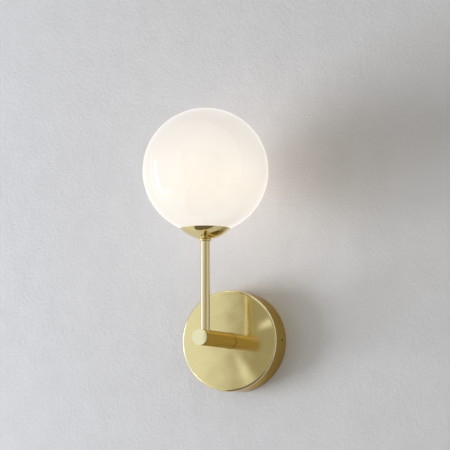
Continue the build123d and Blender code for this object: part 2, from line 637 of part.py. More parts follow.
with BuildPart() as cup_lock_nut:
    with BuildSketch(level(CUP_NUT_FOOT)):
        RegularPolygon(CUP_NUT_FLATS / 2, 6, major_radius=False)
        Circle(STEM_NIPPLE_RADIUS + FIT_GAP, mode=Mode.SUBTRACT)
    extrude(amount=CUP_NUT_HEIGHT)
    # the corners are turned off at the free end
    with BuildSketch(STEM_PLANE):
        Polygon(*corner_cut(CUP_NUT_FLATS, CUP_NUT_TOP), align=None)
    revolve(axis=STEM_AXIS, mode=Mode.SUBTRACT)
save(cup_lock_nut, "cup_lock_nut")

# Lamp holder: a ceramic block with two pin slots in its top and a wire space in its foot
PIN_ROOM = PIN_WIRE + SLOT_ROOM
PIN_PLACES = ((-PIN_PITCH / 2, 0), (PIN_PITCH / 2, 0))
with BuildPart() as lampholder_body:
    with BuildSketch(level(HOLDER_FOOT)):
        RectangleRounded(HOLDER_WIDTH, HOLDER_DEPTH, HOLDER_EDGE)
    extrude(amount=HOLDER_HEIGHT)
    chamfer(edges().group_by(Axis.Z)[-1], HOLDER_CHAMFER)
    with BuildSketch(level(HOLDER_FOOT)):
        RectangleRounded(HOLDER_WIDTH - 2 * HOLDER_WALL, HOLDER_DEPTH - 2 * HOLDER_WALL, HOLDER_EDGE / 2)
    extrude(amount=HOLDER_CAVITY, mode=Mode.SUBTRACT)
    with BuildSketch(level(HOLDER_TOP)):
        with Locations(*PIN_PLACES):
            SlotOverall(PIN_LOOP + 2 * PIN_ROOM, 2 * PIN_ROOM)
    extrude(amount=CAVITY_TOP - HOLDER_TOP, mode=Mode.SUBTRACT)
    with BuildSketch(Plane.YZ.offset(HOLDER_WIDTH / 2)):
        with Locations((-STEM_REACH, HOLDER_FOOT + HOLDER_SCREW_RISE)):
            Circle(HOLDER_SCREW_RADIUS + FIT_GAP)
    extrude(amount=HOLDER_SCREW_STOP - HOLDER_WALL, mode=Mode.SUBTRACT)
    with BuildSketch(Plane.YZ.offset(-HOLDER_WIDTH / 2)):
        with Locations((-STEM_REACH, HOLDER_FOOT + HOLDER_SCREW_RISE)):
            Circle(HOLDER_SCREW_RADIUS + FIT_GAP)
    extrude(amount=HOLDER_WALL - HOLDER_SCREW_STOP, mode=Mode.SUBTRACT)
save(lampholder_body, "lampholder_body")

# Lamp holder screws: through the ears into the ceramic
SCREW_TIP = HOLDER_WIDTH / 2 - HOLDER_WALL + HOLDER_SCREW_STOP + FIT_GAP
with BuildPart() as lampholder_screws:
    with BuildSketch(Plane.YZ.offset(SCREW_TIP)):
        with Locations((-STEM_REACH, HOLDER_FOOT + HOLDER_SCREW_RISE)):
            Circle(HOLDER_SCREW_RADIUS)
    extrude(amount=EAR_OUTSIDE - SCREW_TIP)
    with BuildSketch(Plane.YZ.offset(EAR_OUTSIDE)):
        with Locations((-STEM_REACH, HOLDER_FOOT + HOLDER_SCREW_RISE)):
            Circle(HOLDER_SCREW_HEAD)
    extrude(amount=HOLDER_SCREW_RADIUS)
    with BuildSketch(Plane.YZ.offset(EAR_OUTSIDE + HOLDER_SCREW_RADIUS)):
        with Locations((-STEM_REACH, HOLDER_FOOT + HOLDER_SCREW_RISE)):
            Rectangle(HOLDER_SCREW_RADIUS * 4, DRIVER_SLOT)
    extrude(amount=-HOLDER_SCREW_RADIUS / 2, mode=Mode.SUBTRACT)
    mirror(about=Plane.YZ)
save(lampholder_screws, "lampholder_screws")

# Lamp holder contacts: two folded clips that grip the lamp's pins, each with a tail to its wire
LEAF_INSIDE = PIN_WIRE + FIT_GAP
PIN_FOOT = LAMP_FOOT - PIN_LENGTH
CLIP_FOOT = PIN_FOOT - 2 * FIT_GAP - CONTACT_LEAF
with BuildPart() as lampholder_contacts:
    with BuildSketch(level(CLIP_FOOT)):
        with Locations(*PIN_PLACES):
            Rectangle(PIN_LOOP, 2 * (LEAF_INSIDE + CONTACT_LEAF))
    extrude(amount=CONTACT_LEAF)
    with BuildSketch(level(CLIP_FOOT)):
        for x, _ in PIN_PLACES:
            for side in (1, -1):
                with Locations((x, side * (LEAF_INSIDE + CONTACT_LEAF / 2))):
                    Rectangle(PIN_LOOP, CONTACT_LEAF)
    extrude(amount=HOLDER_TOP - CONTACT_SINK - CLIP_FOOT)
    with BuildSketch(level(CAVITY_TOP)):
        with Locations(*PIN_PLACES):
            Rectangle(PIN_LOOP / 2, 2 * PIN_WIRE)
    extrude(amount=CLIP_FOOT - CAVITY_TOP)
save(lampholder_contacts, "lampholder_contacts")

# ======== Lamp ========

# Lamp base: the white body that carries the pins
with BuildPart() as lamp_base:
    with BuildSketch(level(LAMP_FOOT)):
        RectangleRounded(LAMP_BASE_WIDTH, LAMP_BASE_DEPTH, LAMP_BASE_DEPTH / 3)
    extrude(amount=LAMP_BASE_HEIGHT - LAMP_FLOOR)
    with BuildSketch(level(LAMP_SHOULDER - LAMP_FLOOR)):
        Circle(LAMP_RADIUS)
    extrude(amount=LAMP_FLOOR)
save(lamp_base, "lamp_base")

# Lamp pins: two wire loops
with BuildPart() as lamp_pins:
    for x, _ in PIN_PLACES:
        with BuildLine(STEM_PLANE) as loop:
            FilletPolyline(
                (x - PIN_LOOP / 2, LAMP_FOOT),
                (x - PIN_LOOP / 2, PIN_FOOT + PIN_WIRE),
                (x + PIN_LOOP / 2, PIN_FOOT + PIN_WIRE),
                (x + PIN_LOOP / 2, LAMP_FOOT),
                radius=PIN_BEND,
            )
        with BuildSketch(Plane(loop.line @ 0, z_dir=loop.line % 0)):
            Circle(PIN_WIRE)
        sweep(path=loop.line)
save(lamp_pins, "lamp_pins")

# Lamp diffuser: a frosted tube with a domed end
with BuildPart() as lamp_diffuser:
    with BuildSketch(STEM_PLANE):
        with BuildLine():
            Line((LAMP_RADIUS - LAMP_WALL, LAMP_SHOULDER), (LAMP_RADIUS, LAMP_SHOULDER))
            Line((LAMP_RADIUS, LAMP_SHOULDER), (LAMP_RADIUS, LAMP_SHOULDER + LAMP_HEIGHT - LAMP_RADIUS))
            RadiusArc(
                (LAMP_RADIUS, LAMP_SHOULDER + LAMP_HEIGHT - LAMP_RADIUS),
                (0, LAMP_SHOULDER + LAMP_HEIGHT),
                -LAMP_RADIUS,
            )
            Line((0, LAMP_SHOULDER + LAMP_HEIGHT), (0, LAMP_SHOULDER + LAMP_HEIGHT - LAMP_WALL))
            RadiusArc(
                (0, LAMP_SHOULDER + LAMP_HEIGHT - LAMP_WALL),
                (LAMP_RADIUS - LAMP_WALL, LAMP_SHOULDER + LAMP_HEIGHT - LAMP_RADIUS),
                LAMP_RADIUS - LAMP_WALL,
            )
            Line(
                (LAMP_RADIUS - LAMP_WALL, LAMP_SHOULDER + LAMP_HEIGHT - LAMP_RADIUS),
                (LAMP_RADIUS - LAMP_WALL, LAMP_SHOULDER),
            )
        make_face()
    revolve(axis=STEM_AXIS)
save(lamp_diffuser, "lamp_diffuser")

# Lamp core: a square column with light-emitting chips up its four sides
CHIP_RISE = CORE_HEIGHT / CHIP_ROWS
with BuildPart() as lamp_core:
    with BuildSketch(level(LAMP_SHOULDER)):
        Rectangle(CORE_SIDE, CORE_SIDE)
    extrude(amount=CORE_HEIGHT)
    for row in range(CHIP_ROWS):
        with BuildSketch(level(LAMP_SHOULDER + (row + 0.5) * CHIP_RISE - CHIP_SIDE / 2)):
            Rectangle(CORE_SIDE + 2 * CHIP_THICKNESS, CHIP_SIDE)
            Rectangle(CHIP_SIDE, CORE_SIDE + 2 * CHIP_THICKNESS)
        extrude(amount=CHIP_SIDE)
save(lamp_core, "lamp_core")

# ======== Wiring ========

BLOCK_WIDTH = POLE_PITCH + 2 * POLE_MARGIN
BLOCK_FACE = -STRIP_THICKNESS - BLOCK_THICKNESS
POLE_Y = -STRIP_THICKNESS - POLE_RISE
POLES = (BLOCK_OFFSET + POLE_PITCH / 2, BLOCK_OFFSET - POLE_PITCH / 2)
CLAMP_TIP = POLE_Y - WIRE_RADIUS - FIT_GAP
CLAMP_PLACES = [(x, z) for x in POLES for z in (CLAMP_SCREW_RISE, -CLAMP_SCREW_RISE)]

# Terminal block: a moulded two-pole body on the bracket
with BuildPart() as terminal_block:
    with BuildSketch(outward(-STRIP_THICKNESS)):
        with Locations((BLOCK_OFFSET, 0)):
            RectangleRounded(BLOCK_WIDTH, BLOCK_HEIGHT, BLOCK_EDGE)
    extrude(amount=BLOCK_THICKNESS)
    with BuildSketch(Plane.XY):
        with Locations(*((x, POLE_Y) for x in POLES)):
            Circle(TUBE_RADIUS + FIT_GAP)
    extrude(amount=BLOCK_HEIGHT / 2 + CUT, both=True, mode=Mode.SUBTRACT)
    with BuildSketch(outward(POLE_Y)):
        with Locations(*CLAMP_PLACES):
            Circle(CLAMP_SCREW_RADIUS + LOOSE_GAP)
    extrude(amount=BLOCK_THICKNESS, mode=Mode.SUBTRACT)
    with BuildSketch(outward(0)):
        with Locations((BLOCK_OFFSET, 0)):
            Circle(BLOCK_SCREW_RADIUS + FIT_GAP)
    extrude(amount=BLOCK_THICKNESS + STRIP_THICKNESS, mode=Mode.SUBTRACT)
save(terminal_block, "terminal_block")

# Terminal tubes: the brass sleeve of each pole
with BuildPart() as terminal_tubes:
    with BuildSketch(Plane.XY):
        with Locations(*((x, POLE_Y) for x in POLES)):
            ring(TUBE_RADIUS, TUBE_BORE)
    extrude(amount=TUBE_LENGTH / 2, both=True)
    with BuildSketch(outward(POLE_Y)):
        with Locations(*CLAMP_PLACES):
            Circle(CLAMP_SCREW_RADIUS + FIT_GAP)
    extrude(amount=BLOCK_THICKNESS, mode=Mode.SUBTRACT)
save(terminal_tubes, "terminal_tubes")

# Terminal screws: two slotted screws for each pole
with BuildPart() as terminal_screws:
    with BuildSketch(outward(CLAMP_TIP)):
        with Locations(*CLAMP_PLACES):
            Circle(CLAMP_SCREW_RADIUS)
    extrude(amount=CLAMP_SCREW_LENGTH)
    with BuildSketch(outward(CLAMP_TIP - CLAMP_SCREW_LENGTH + CLAMP_SCREW_RADIUS / 2)):
        with Locations(*CLAMP_PLACES):
            Rectangle(CLAMP_SCREW_RADIUS * 3, DRIVER_SLOT)
    extrude(amount=CLAMP_SCREW_RADIUS, mode=Mode.SUBTRACT)
save(terminal_screws, "terminal_screws")

# Block screw: holds the terminal block on the bracket
with BuildPart() as block_screw:
    with BuildSketch(outward(-SCREW_SHORT)):
        with Locations((BLOCK_OFFSET, 0)):
            Circle(BLOCK_SCREW_RADIUS)
    extrude(amount=-BLOCK_FACE - SCREW_SHORT)
    with BuildSketch(outward(BLOCK_FACE)):
        with Locations((BLOCK_OFFSET, 0)):
            Circle(BLOCK_SCREW_RADIUS + BLOCK_SCREW_LIP)
    extrude(amount=BLOCK_SCREW_HEAD)
    with BuildSketch(outward(BLOCK_FACE - BLOCK_SCREW_HEAD / 2)):
        with Locations((BLOCK_OFFSET, 0)):
            Rectangle(BLOCK_SCREW_RADIUS * 4, DRIVER_SLOT)
    extrude(amount=BLOCK_SCREW_HEAD, mode=Mode.SUBTRACT)
save(block_screw, "block_screw")

# Earth ring: a crimped ring on the bracket
RING_TOP = -STRIP_THICKNESS - TAG_THICKNESS
RING_BARREL = EARTH_SCREW_OFFSET + RING_RADIUS + RING_REACH
RING_BARREL_Y = -STRIP_THICKNESS - BARREL_RADIUS - 2 * FIT_GAP
with BuildPart() as earth_ring:
    with BuildSketch(outward(-STRIP_THICKNESS)):
        with Locations((EARTH_SCREW_OFFSET, 0)):
            Circle(RING_RADIUS)
        with Locations(((EARTH_SCREW_OFFSET + RING_BARREL + BARREL_END) / 2, 0)):
            Rectangle(RING_BARREL + BARREL_END - EARTH_SCREW_OFFSET, BARREL_RADIUS * 2)
        with Locations((EARTH_SCREW_OFFSET, 0)):
            Circle(EARTH_SCREW_RADIUS + FIT_GAP, mode=Mode.SUBTRACT)
    extrude(amount=TAG_THICKNESS)
    with BuildSketch(Plane.YZ.offset(RING_BARREL)):
        with Locations((RING_BARREL_Y, 0)):
            Circle(BARREL_RADIUS)
    extrude(amount=BARREL_LENGTH)
    with BuildSketch(Plane.YZ.offset(RING_BARREL + BARREL_LENGTH)):
        with Locations((RING_BARREL_Y, 0)):
            Circle(EARTH_RADIUS + FIT_GAP)
    extrude(amount=BARREL_END - BARREL_LENGTH, mode=Mode.SUBTRACT)
save(earth_ring, "earth_ring")

# Earth screw: a pan-headed screw through the ring into the bracket
EARTH_HEAD = RING_RADIUS - SCREW_HEAD_STEP
with BuildPart() as earth_screw:
    with BuildSketch(outward(-SCREW_SHORT)):
        with Locations((EARTH_SCREW_OFFSET, 0)):
            Circle(EARTH_SCREW_RADIUS)
    extrude(amount=-RING_TOP - SCREW_SHORT)
    with BuildSketch(outward(RING_TOP)):
        with Locations((EARTH_SCREW_OFFSET, 0)):
            Circle(EARTH_HEAD)
    extrude(amount=EARTH_SCREW_RADIUS)
    fillet(edges().group_by(Axis.Y)[0], EARTH_SCREW_RADIUS / 3)
    with BuildSketch(outward(RING_TOP - EARTH_SCREW_RADIUS / 2)):
        with Locations((EARTH_SCREW_OFFSET, 0)):
            Rectangle(EARTH_HEAD * 3, DRIVER_SLOT)
    extrude(amount=EARTH_SCREW_RADIUS, mode=Mode.SUBTRACT)
save(earth_screw, "earth_screw")


def core_route(side, pole, canopy_y, canopy_z):
    """The corners of a core's way from the lamp holder to its pole. side is +1 or -1."""
    x = side * WIRE_SPACING / 2
    tail = side * PIN_PITCH / 2
    splay = PIN_PITCH / 2 - WIRE_SPACING / 2
    return [
        (tail, -STEM_REACH, CAVITY_TOP),
        (tail, -STEM_REACH, STEM_NIPPLE_TOP + splay + WIRE_RADIUS),
        (x, -STEM_REACH, STEM_NIPPLE_TOP + WIRE_RADIUS / 2),
        (x, -STEM_REACH, 0),
        (x, canopy_y, 0),
        (x, canopy_y, canopy_z),
        (pole, POLE_Y, canopy_z),
        (pole, POLE_Y, CLAMP_SCREW_RISE - 2 * WIRE_RADIUS),
    ]


CORE_BENDS = [WIRE_SPLAY, WIRE_SPLAY, WIRE_TURN, WIRE_BEND, WIRE_BEND, WIRE_BEND]
LIVE_Y = CANOPY_INSIDE + CORE_SETBACK + CORE_APART
LIVE_Z = BLOCK_HEIGHT / 2 + CORE_ARCH
NEUTRAL_Y = LIVE_Y - CORE_APART
NEUTRAL_Z = LIVE_Z + CORE_CROSSING

# Live wire: the right-hand core, to the pole nearer the cable hole
with BuildPart() as live_wire:
    with BuildLine() as live_way:
        FilletPolyline(*core_route(1, POLES[0], LIVE_Y, LIVE_Z), radius=CORE_BENDS)
    with BuildSketch(Plane(live_way.line @ 0, z_dir=live_way.line % 0)):
        Circle(WIRE_RADIUS)
    sweep(path=live_way.line)
save(live_wire, "live_wire")

# Neutral wire: the left-hand core, to the farther pole, passing over the live one
with BuildPart() as neutral_wire:
    with BuildLine() as neutral_way:
        FilletPolyline(*core_route(-1, POLES[1], NEUTRAL_Y, NEUTRAL_Z), radius=CORE_BENDS)
    with BuildSketch(Plane(neutral_way.line @ 0, z_dir=neutral_way.line % 0)):
        Circle(WIRE_RADIUS)
    sweep(path=neutral_way.line)
save(neutral_wire, "neutral_wire")

# Earth wire: a loop from the tag on the canopy to the ring on the bracket
EARTH_TURN = max(TAG_BARREL, RING_BARREL) + BARREL_LENGTH + EARTH_SLACK
with BuildPart() as earth_wire:
    with BuildLine() as earth_way:
        FilletPolyline(
            (TAG_BARREL + BARREL_END + 2 * FIT_GAP, TAG_BARREL_Y, 0),
            (EARTH_TURN, TAG_BARREL_Y, 0),
            (EARTH_TURN, RING_BARREL_Y, 0),
            (RING_BARREL + BARREL_END + 2 * FIT_GAP, RING_BARREL_Y, 0),
            radius=EARTH_BEND,
        )
    with BuildSketch(Plane(earth_way.line @ 0, z_dir=earth_way.line % 0)):
        Circle(EARTH_RADIUS)
    sweep(path=earth_way.line)
save(earth_wire, "earth_wire")

# Each wire's solid is as large as its section times its length
for wire, way, radius in (
    (live_wire, live_way, WIRE_RADIUS),
    (neutral_wire, neutral_way, WIRE_RADIUS),
    (earth_wire, earth_way, EARTH_RADIUS),
):
    length = way.wires()[0].length
    share = wire.part.volume / (pi * radius**2 * length)
    print(wire.part.label, "length", round(length, 1), "mm, volume over section times length", round(share, 4))
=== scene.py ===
from math import asin, pi, radians, sqrt

import bmesh
import bpy
import numpy as np
from bpy.props import FloatProperty, FloatVectorProperty, IntProperty, PointerProperty
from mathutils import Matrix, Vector


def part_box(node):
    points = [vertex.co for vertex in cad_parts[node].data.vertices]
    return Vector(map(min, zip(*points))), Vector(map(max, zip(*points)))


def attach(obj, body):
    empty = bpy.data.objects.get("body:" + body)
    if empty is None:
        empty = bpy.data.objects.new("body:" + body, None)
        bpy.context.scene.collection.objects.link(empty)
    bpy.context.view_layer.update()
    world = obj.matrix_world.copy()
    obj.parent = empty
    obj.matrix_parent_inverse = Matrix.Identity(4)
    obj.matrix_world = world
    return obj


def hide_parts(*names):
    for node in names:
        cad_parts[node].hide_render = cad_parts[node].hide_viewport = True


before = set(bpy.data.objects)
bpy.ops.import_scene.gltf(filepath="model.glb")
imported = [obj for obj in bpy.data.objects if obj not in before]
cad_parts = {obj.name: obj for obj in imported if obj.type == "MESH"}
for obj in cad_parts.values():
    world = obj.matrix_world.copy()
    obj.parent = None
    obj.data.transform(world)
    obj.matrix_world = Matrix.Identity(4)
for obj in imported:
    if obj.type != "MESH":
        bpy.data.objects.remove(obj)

bl_info = {
    "name": "Globe Wall Sconce",
    "version": (1, 0, 0),
    "blender": (4, 5, 0),
    "location": "3D View > Sidebar > Sconce",
    "description": "Dresses a one-lamp wall light: brass canopy, arm and stem, polished cup, opal globe",
    "category": "Object",
}

TURN = 2 * pi
UP, INTO_WALL = (0, 0, 1), (0, 1, 0)
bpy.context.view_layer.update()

SAME_POINT = 1e-7  # metres within which two points of a surface are one
EDGE_SHARE = 0.45  # most of an edge that the rounding at one of its ends takes
THREAD_DEPTH = 0.55  # of the pitch
ROWS_PER_PITCH = 10
SHEET_SIDES, SHEET_RINGS = 96, 6

# Colours without a setting
# Painted shade: the dark colour drawn where parts meet and on the walls of holes
PAINTED_SHADE = (0.12, 0.07, 0.02)
SCREW_STEEL = (0.09, 0.085, 0.08)
SPRING_STEEL = (0.55, 0.56, 0.58)
SILICONE = (0.74, 0.73, 0.7)
CONTACT_METAL = (0.66, 0.63, 0.56)
PIN_METAL = (0.7, 0.68, 0.62)
TAG_METAL = (0.68, 0.67, 0.64)
LAMP_PLASTIC = (0.82, 0.82, 0.8)
TERMINAL_PLASTIC = (0.8, 0.8, 0.79)
BROWN, BLUE = (0.16, 0.055, 0.022), (0.03, 0.13, 0.42)
GREEN, YELLOW = (0.09, 0.34, 0.06), (0.8, 0.66, 0.05)


# ======== Sizes read from the CAD parts ====


def middle(node):
    """The middle of a node's box."""
    low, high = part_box(node)
    return (low + high) / 2


def half_width(node):
    """Half the width of a node's box along X."""
    low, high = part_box(node)
    return (high.x - low.x) / 2


STEM = middle("stem_tube")
ARM = middle("arm_tube")
STEM_AXIS = (STEM.x, STEM.y, 0.0)
ARM_AXIS = (ARM.x, 0.0, ARM.z)


class SconceSizes(bpy.types.PropertyGroup):
    glass_wall: FloatProperty(
        name="Glass wall", description="Thickness of the globe's glass", default=0.003, unit="LENGTH"
    )
    neck_bore: FloatProperty(
        name="Neck bore", description="Radius of the globe's opening", default=0.0155, unit="LENGTH"
    )
    neck_wall: FloatProperty(
        name="Neck wall", description="Thickness of the glass at the neck", default=0.0035, unit="LENGTH"
    )
    cup_wall: FloatProperty(
        name="Cup wall", description="Thickness of the cup's metal", default=0.0009, unit="LENGTH"
    )
    cup_land: FloatProperty(
        name="Cup land", description="Radius of the cup's flat foot", default=0.0073, unit="LENGTH"
    )
    collar_seat: FloatProperty(
        name="Collar seat", description="Depth of the stem in its collar", default=0.0012, unit="LENGTH"
    )
    tube_wall: FloatProperty(
        name="Stem wall", description="Thickness of the stem's tube", default=0.0015, unit="LENGTH"
    )
    arm_wall: FloatProperty(
        name="Arm wall", description="Thickness of the arm's tube", default=0.0015, unit="LENGTH"
    )
    cap_disc: FloatProperty(
        name="End cap disc", description="Thickness of the arm's end disc", default=0.0012, unit="LENGTH"
    )
    cap_groove: FloatProperty(
        name="End cap groove", description="Width of the shadow line behind the disc", default=0.001,
        unit="LENGTH",
    )
    cap_depth: FloatProperty(
        name="Groove depth", description="Depth of the shadow line behind the disc", default=0.0012,
        unit="LENGTH",
    )
    fit_gap: FloatProperty(
        name="Fit gap", description="Radial gap of screwed and sliding fits", default=0.00005, unit="LENGTH"
    )
    broken_edge: FloatProperty(
        name="Broken edge", description="Rounding of turned edges", default=0.00015, unit="LENGTH"
    )
    thread_pitch: FloatProperty(
        name="Thread pitch", description="Pitch of the two threaded rods", default=0.001, unit="LENGTH"
    )
    sections: IntProperty(
        name="Sections", description="Divisions round a turned piece", default=192, min=24, max=512
    )


class SconceFinishes(bpy.types.PropertyGroup):
    satin: FloatVectorProperty(
        name="Satin brass", description="Colour of the brushed brass", default=(0.8, 0.7, 0.345),
        subtype="COLOR", min=0, max=1,
    )
    stem: FloatVectorProperty(
        name="Stem brass", description="Colour of the stem's paler brass", default=(0.86, 0.76, 0.46),
        subtype="COLOR", min=0, max=1,
    )
    # The arm's deeper brass is a more saturated copy of the brass: painted shade on the arm
    arm: FloatVectorProperty(
        name="Arm brass", description="Colour of the arm's deeper brass", default=(0.86, 0.68, 0.31),
        subtype="COLOR", min=0, max=1,
    )
    # The cap's paler brass is a paler copy of the brass: a painted reflection on the end disc
    cap: FloatVectorProperty(
        name="Cap brass", description="Colour of the arm's paler end disc", default=(0.85, 0.8, 0.48),
        subtype="COLOR", min=0, max=1,
    )
    polished: FloatVectorProperty(
        name="Polished brass", description="Colour of the mirror-polished brass", default=(0.9, 0.76, 0.37),
        subtype="COLOR", min=0, max=1,
    )
    raw: FloatVectorProperty(
        name="Raw brass", description="Colour of the hidden turned brass", default=(0.62, 0.45, 0.19),
        subtype="COLOR", min=0, max=1,
    )
    zinc: FloatVectorProperty(
        name="Zinc", description="Colour of the plated steel", default=(0.56, 0.58, 0.6),
        subtype="COLOR", min=0, max=1,
    )
    opal: FloatVectorProperty(
        name="Opal glass", description="Colour of the glass when it isn't lit", default=(0.1, 0.1, 0.103),
        subtype="COLOR", min=0, max=1,
    )
    glow: FloatVectorProperty(
        name="Glow", description="Light that the globe gives off", default=(0.88, 0.845, 0.775),
        subtype="COLOR", min=0, max=1,
    )
    ceramic: FloatVectorProperty(
        name="Ceramic", description="Colour of the lamp holder", default=(0.83, 0.81, 0.76),
        subtype="COLOR", min=0, max=1,
    )


class SconceStage(bpy.types.PropertyGroup):
    camera_place: FloatVectorProperty(
        name="Camera", description="Where the camera stands", default=(0.766907, -1.937562, -0.107551),
        subtype="TRANSLATION", unit="LENGTH",
    )
    camera_turn: FloatProperty(
        name="Turn", description="How far the camera is turned to the left", default=radians(22.064),
        subtype="ANGLE",
    )
    camera_tilt: FloatProperty(
        name="Tilt", description="How far the camera looks up", default=radians(6.938), subtype="ANGLE"
    )
    focal_length: FloatProperty(
        name="Focal length", description="Focal length in millimetres", default=134.45, min=10, max=500
    )
    wall_colour: FloatVectorProperty(
        name="Wall", description="Colour of the plastered wall", default=(0.75, 0.76, 0.785),
        subtype="COLOR", min=0, max=1,
    )
    floor_drop: FloatProperty(
        name="Floor", description="How far the floor lies below the canopy", default=1.15, unit="LENGTH"
    )
    room_light: FloatVectorProperty(
        name="Room", description="Even light of the room", default=(0.3, 0.275, 0.23),
        subtype="COLOR", min=0, max=2,
    )


# ======== Surfaces ========


def turned(profile, centre, axis, sections):
    """Points of a surface of revolution. Each point of the closed profile is a distance from the axis
    and a height along it; point = centre + height x axis + distance x (u cos a + v sin a), for angles a
    all the way round, where u and v are the two directions across the axis."""
    axis = np.array(axis, float)
    u = np.array((1.0, 0.0, 0.0))
    v = np.cross(axis, u)
    a = np.arange(sections) * TURN / sections
    across = np.cos(a)[:, None] * u + np.sin(a)[:, None] * v
    return np.array(centre, float) + profile[:, None, 1:2] * axis + profile[:, None, 0:1] * across[None]


def quads(rows, columns):
    """The faces of a grid that closes on itself both ways."""
    i, j = np.meshgrid(np.arange(rows), np.arange(columns), indexing="ij")
    i2, j2 = (i + 1) % rows, (j + 1) % columns
    corners = [i * columns + j, i2 * columns + j, i2 * columns + j2, i * columns + j2]
    return np.stack(corners, -1).reshape(-1, 4)


def softened(corners, radii, steps=6):
    """A closed profile with its corners rounded. At each corner the arc touches both edges at
    radius / tan(half the corner's angle) from the corner, and its centre lies on the corner's bisector
    at radius / sin(half that angle)."""
    p = np.array(corners, float)
    r = np.broadcast_to(np.array(radii, float), len(p))[:, None]
    to_last, to_next = np.roll(p, 1, 0) - p, np.roll(p, -1, 0) - p
    last_length = np.linalg.norm(to_last, axis=1, keepdims=True)
    next_length = np.linalg.norm(to_next, axis=1, keepdims=True)
    u, v = to_last / last_length, to_next / next_length
    half = np.arccos(np.clip((u * v).sum(1, keepdims=True), -1, 1)) / 2
    reach = np.minimum(r / np.tan(half), EDGE_SHARE * np.minimum(last_length, next_length))
    r = reach * np.tan(half)
    bisector = (u + v) / np.maximum(np.linalg.norm(u + v, axis=1, keepdims=True), 1e-12)
    centre = p + bisector * r / np.sin(half)
    start = p + u * reach - centre
    finish = p + v * reach - centre
    a = np.arctan2(start[:, 1], start[:, 0])
    sweep = (np.arctan2(finish[:, 1], finish[:, 0]) - a + pi) % TURN - pi
    angles = a[:, None] + sweep[:, None] * np.linspace(0, 1, steps)
    arcs = centre[:, None] + r[:, None] * np.stack([np.cos(angles), np.sin(angles)], -1)
    return without_repeats(np.where(r[:, None] > SAME_POINT, arcs, p[:, None]).reshape(-1, 2))


def without_repeats(profile):
    """The profile without points that lie on the point before them."""
    gap = np.linalg.norm(profile - np.roll(profile, 1, 0), axis=1)
    return profile[gap > SAME_POINT]


def arc(centre_height, radius, start, finish, steps):
    """Profile points on a circle about a point of the axis: distance = radius x sin a and
    height = centre - radius x cos a, for angles a from straight down."""
    a = np.linspace(start, finish, steps)
    return np.stack([radius * np.sin(a), centre_height - radius * np.cos(a)], -1)


def threaded(length, outside, bore, pitch, sections):
    """Points of a threaded rod with a bore, about its own axis from height 0. Up the outside the radius
    is outside - depth x w, where w is the triangle wave of height / pitch - angle / turn, which fades in
    from its mean over one pitch at each end. The loop comes back down the bore."""
    depth = THREAD_DEPTH * pitch
    h = np.linspace(0, length, int(length / pitch * ROWS_PER_PITCH) + 1)
    a = np.arange(sections) * TURN / sections
    turns = h[:, None] / pitch - a[None] / TURN
    wave = np.abs(2 * (turns % 1) - 1)
    fade = np.clip(np.minimum(h, length - h) / pitch, 0, 1)[:, None]
    radius = outside - depth * (wave * fade + (1 - fade) * 0.5)
    inner = np.array([length, length / 2, 0.0])
    r = np.vstack([radius, np.full((3, sections), bore)])
    h = np.concatenate([h, inner])
    return np.stack([r * np.cos(a), r * np.sin(a), np.broadcast_to(h[:, None], r.shape)], -1)


def add_piece(name, points, material, body, node, slot, sharp=35):
    """Makes a closed grid of points into a piece that stands for a node. Repeated points at the poles
    are merged, the faces point outwards, and edges sharper than the angle stay sharp."""
    rows, columns, _ = points.shape
    mesh = bpy.data.meshes.new(name)
    mesh.from_pydata(points.reshape(-1, 3), [], quads(rows, columns))
    shape = bmesh.new()
    shape.from_mesh(mesh)
    bmesh.ops.remove_doubles(shape, verts=shape.verts, dist=SAME_POINT)
    bmesh.ops.recalc_face_normals(shape, faces=shape.faces)
    if shape.calc_volume(signed=True) < 0:
        bmesh.ops.reverse_faces(shape, faces=shape.faces)
    shape.to_mesh(mesh)
    shape.free()
    mesh.shade_smooth()
    mesh.set_sharp_from_angle(angle=radians(sharp))
    piece = bpy.data.objects.new(name, mesh)
    bpy.context.scene.collection.objects.link(piece)
    mesh.materials.append(material)
    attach(piece, body)
    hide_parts(node)


def add_turned(name, profile, centre, axis, *placing):
    """Makes a closed profile into a turned piece, with the rest as add_piece takes it."""
    add_piece(name, turned(profile, centre, axis, sizes().sections), *placing)


def finish_node(material, *nodes):
    """Gives CAD nodes a material, in their own slots."""
    for node in nodes:
        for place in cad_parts[node].material_slots:
            place.material = material


# ======== Shader maths ========


class Quantity:
    """One output of a shader node, which can be used in arithmetic."""

    def __init__(self, paint, socket):
        self.paint = paint
        self.socket = socket

    def maths(self, operation, *values):
        return self.paint.add("ShaderNodeMath", dict(enumerate(values)), operation=operation)

    def __add__(self, other):
        return self.maths("ADD", self, other)

    def __sub__(self, other):
        return self.maths("SUBTRACT", self, other)

    def __rsub__(self, other):
        return self.maths("SUBTRACT", other, self)

    def __mul__(self, other):
        return self.maths("MULTIPLY", self, other)

    def __truediv__(self, other):
        return self.maths("DIVIDE", self, other)

    def __abs__(self):
        return self.maths("ABSOLUTE", self)


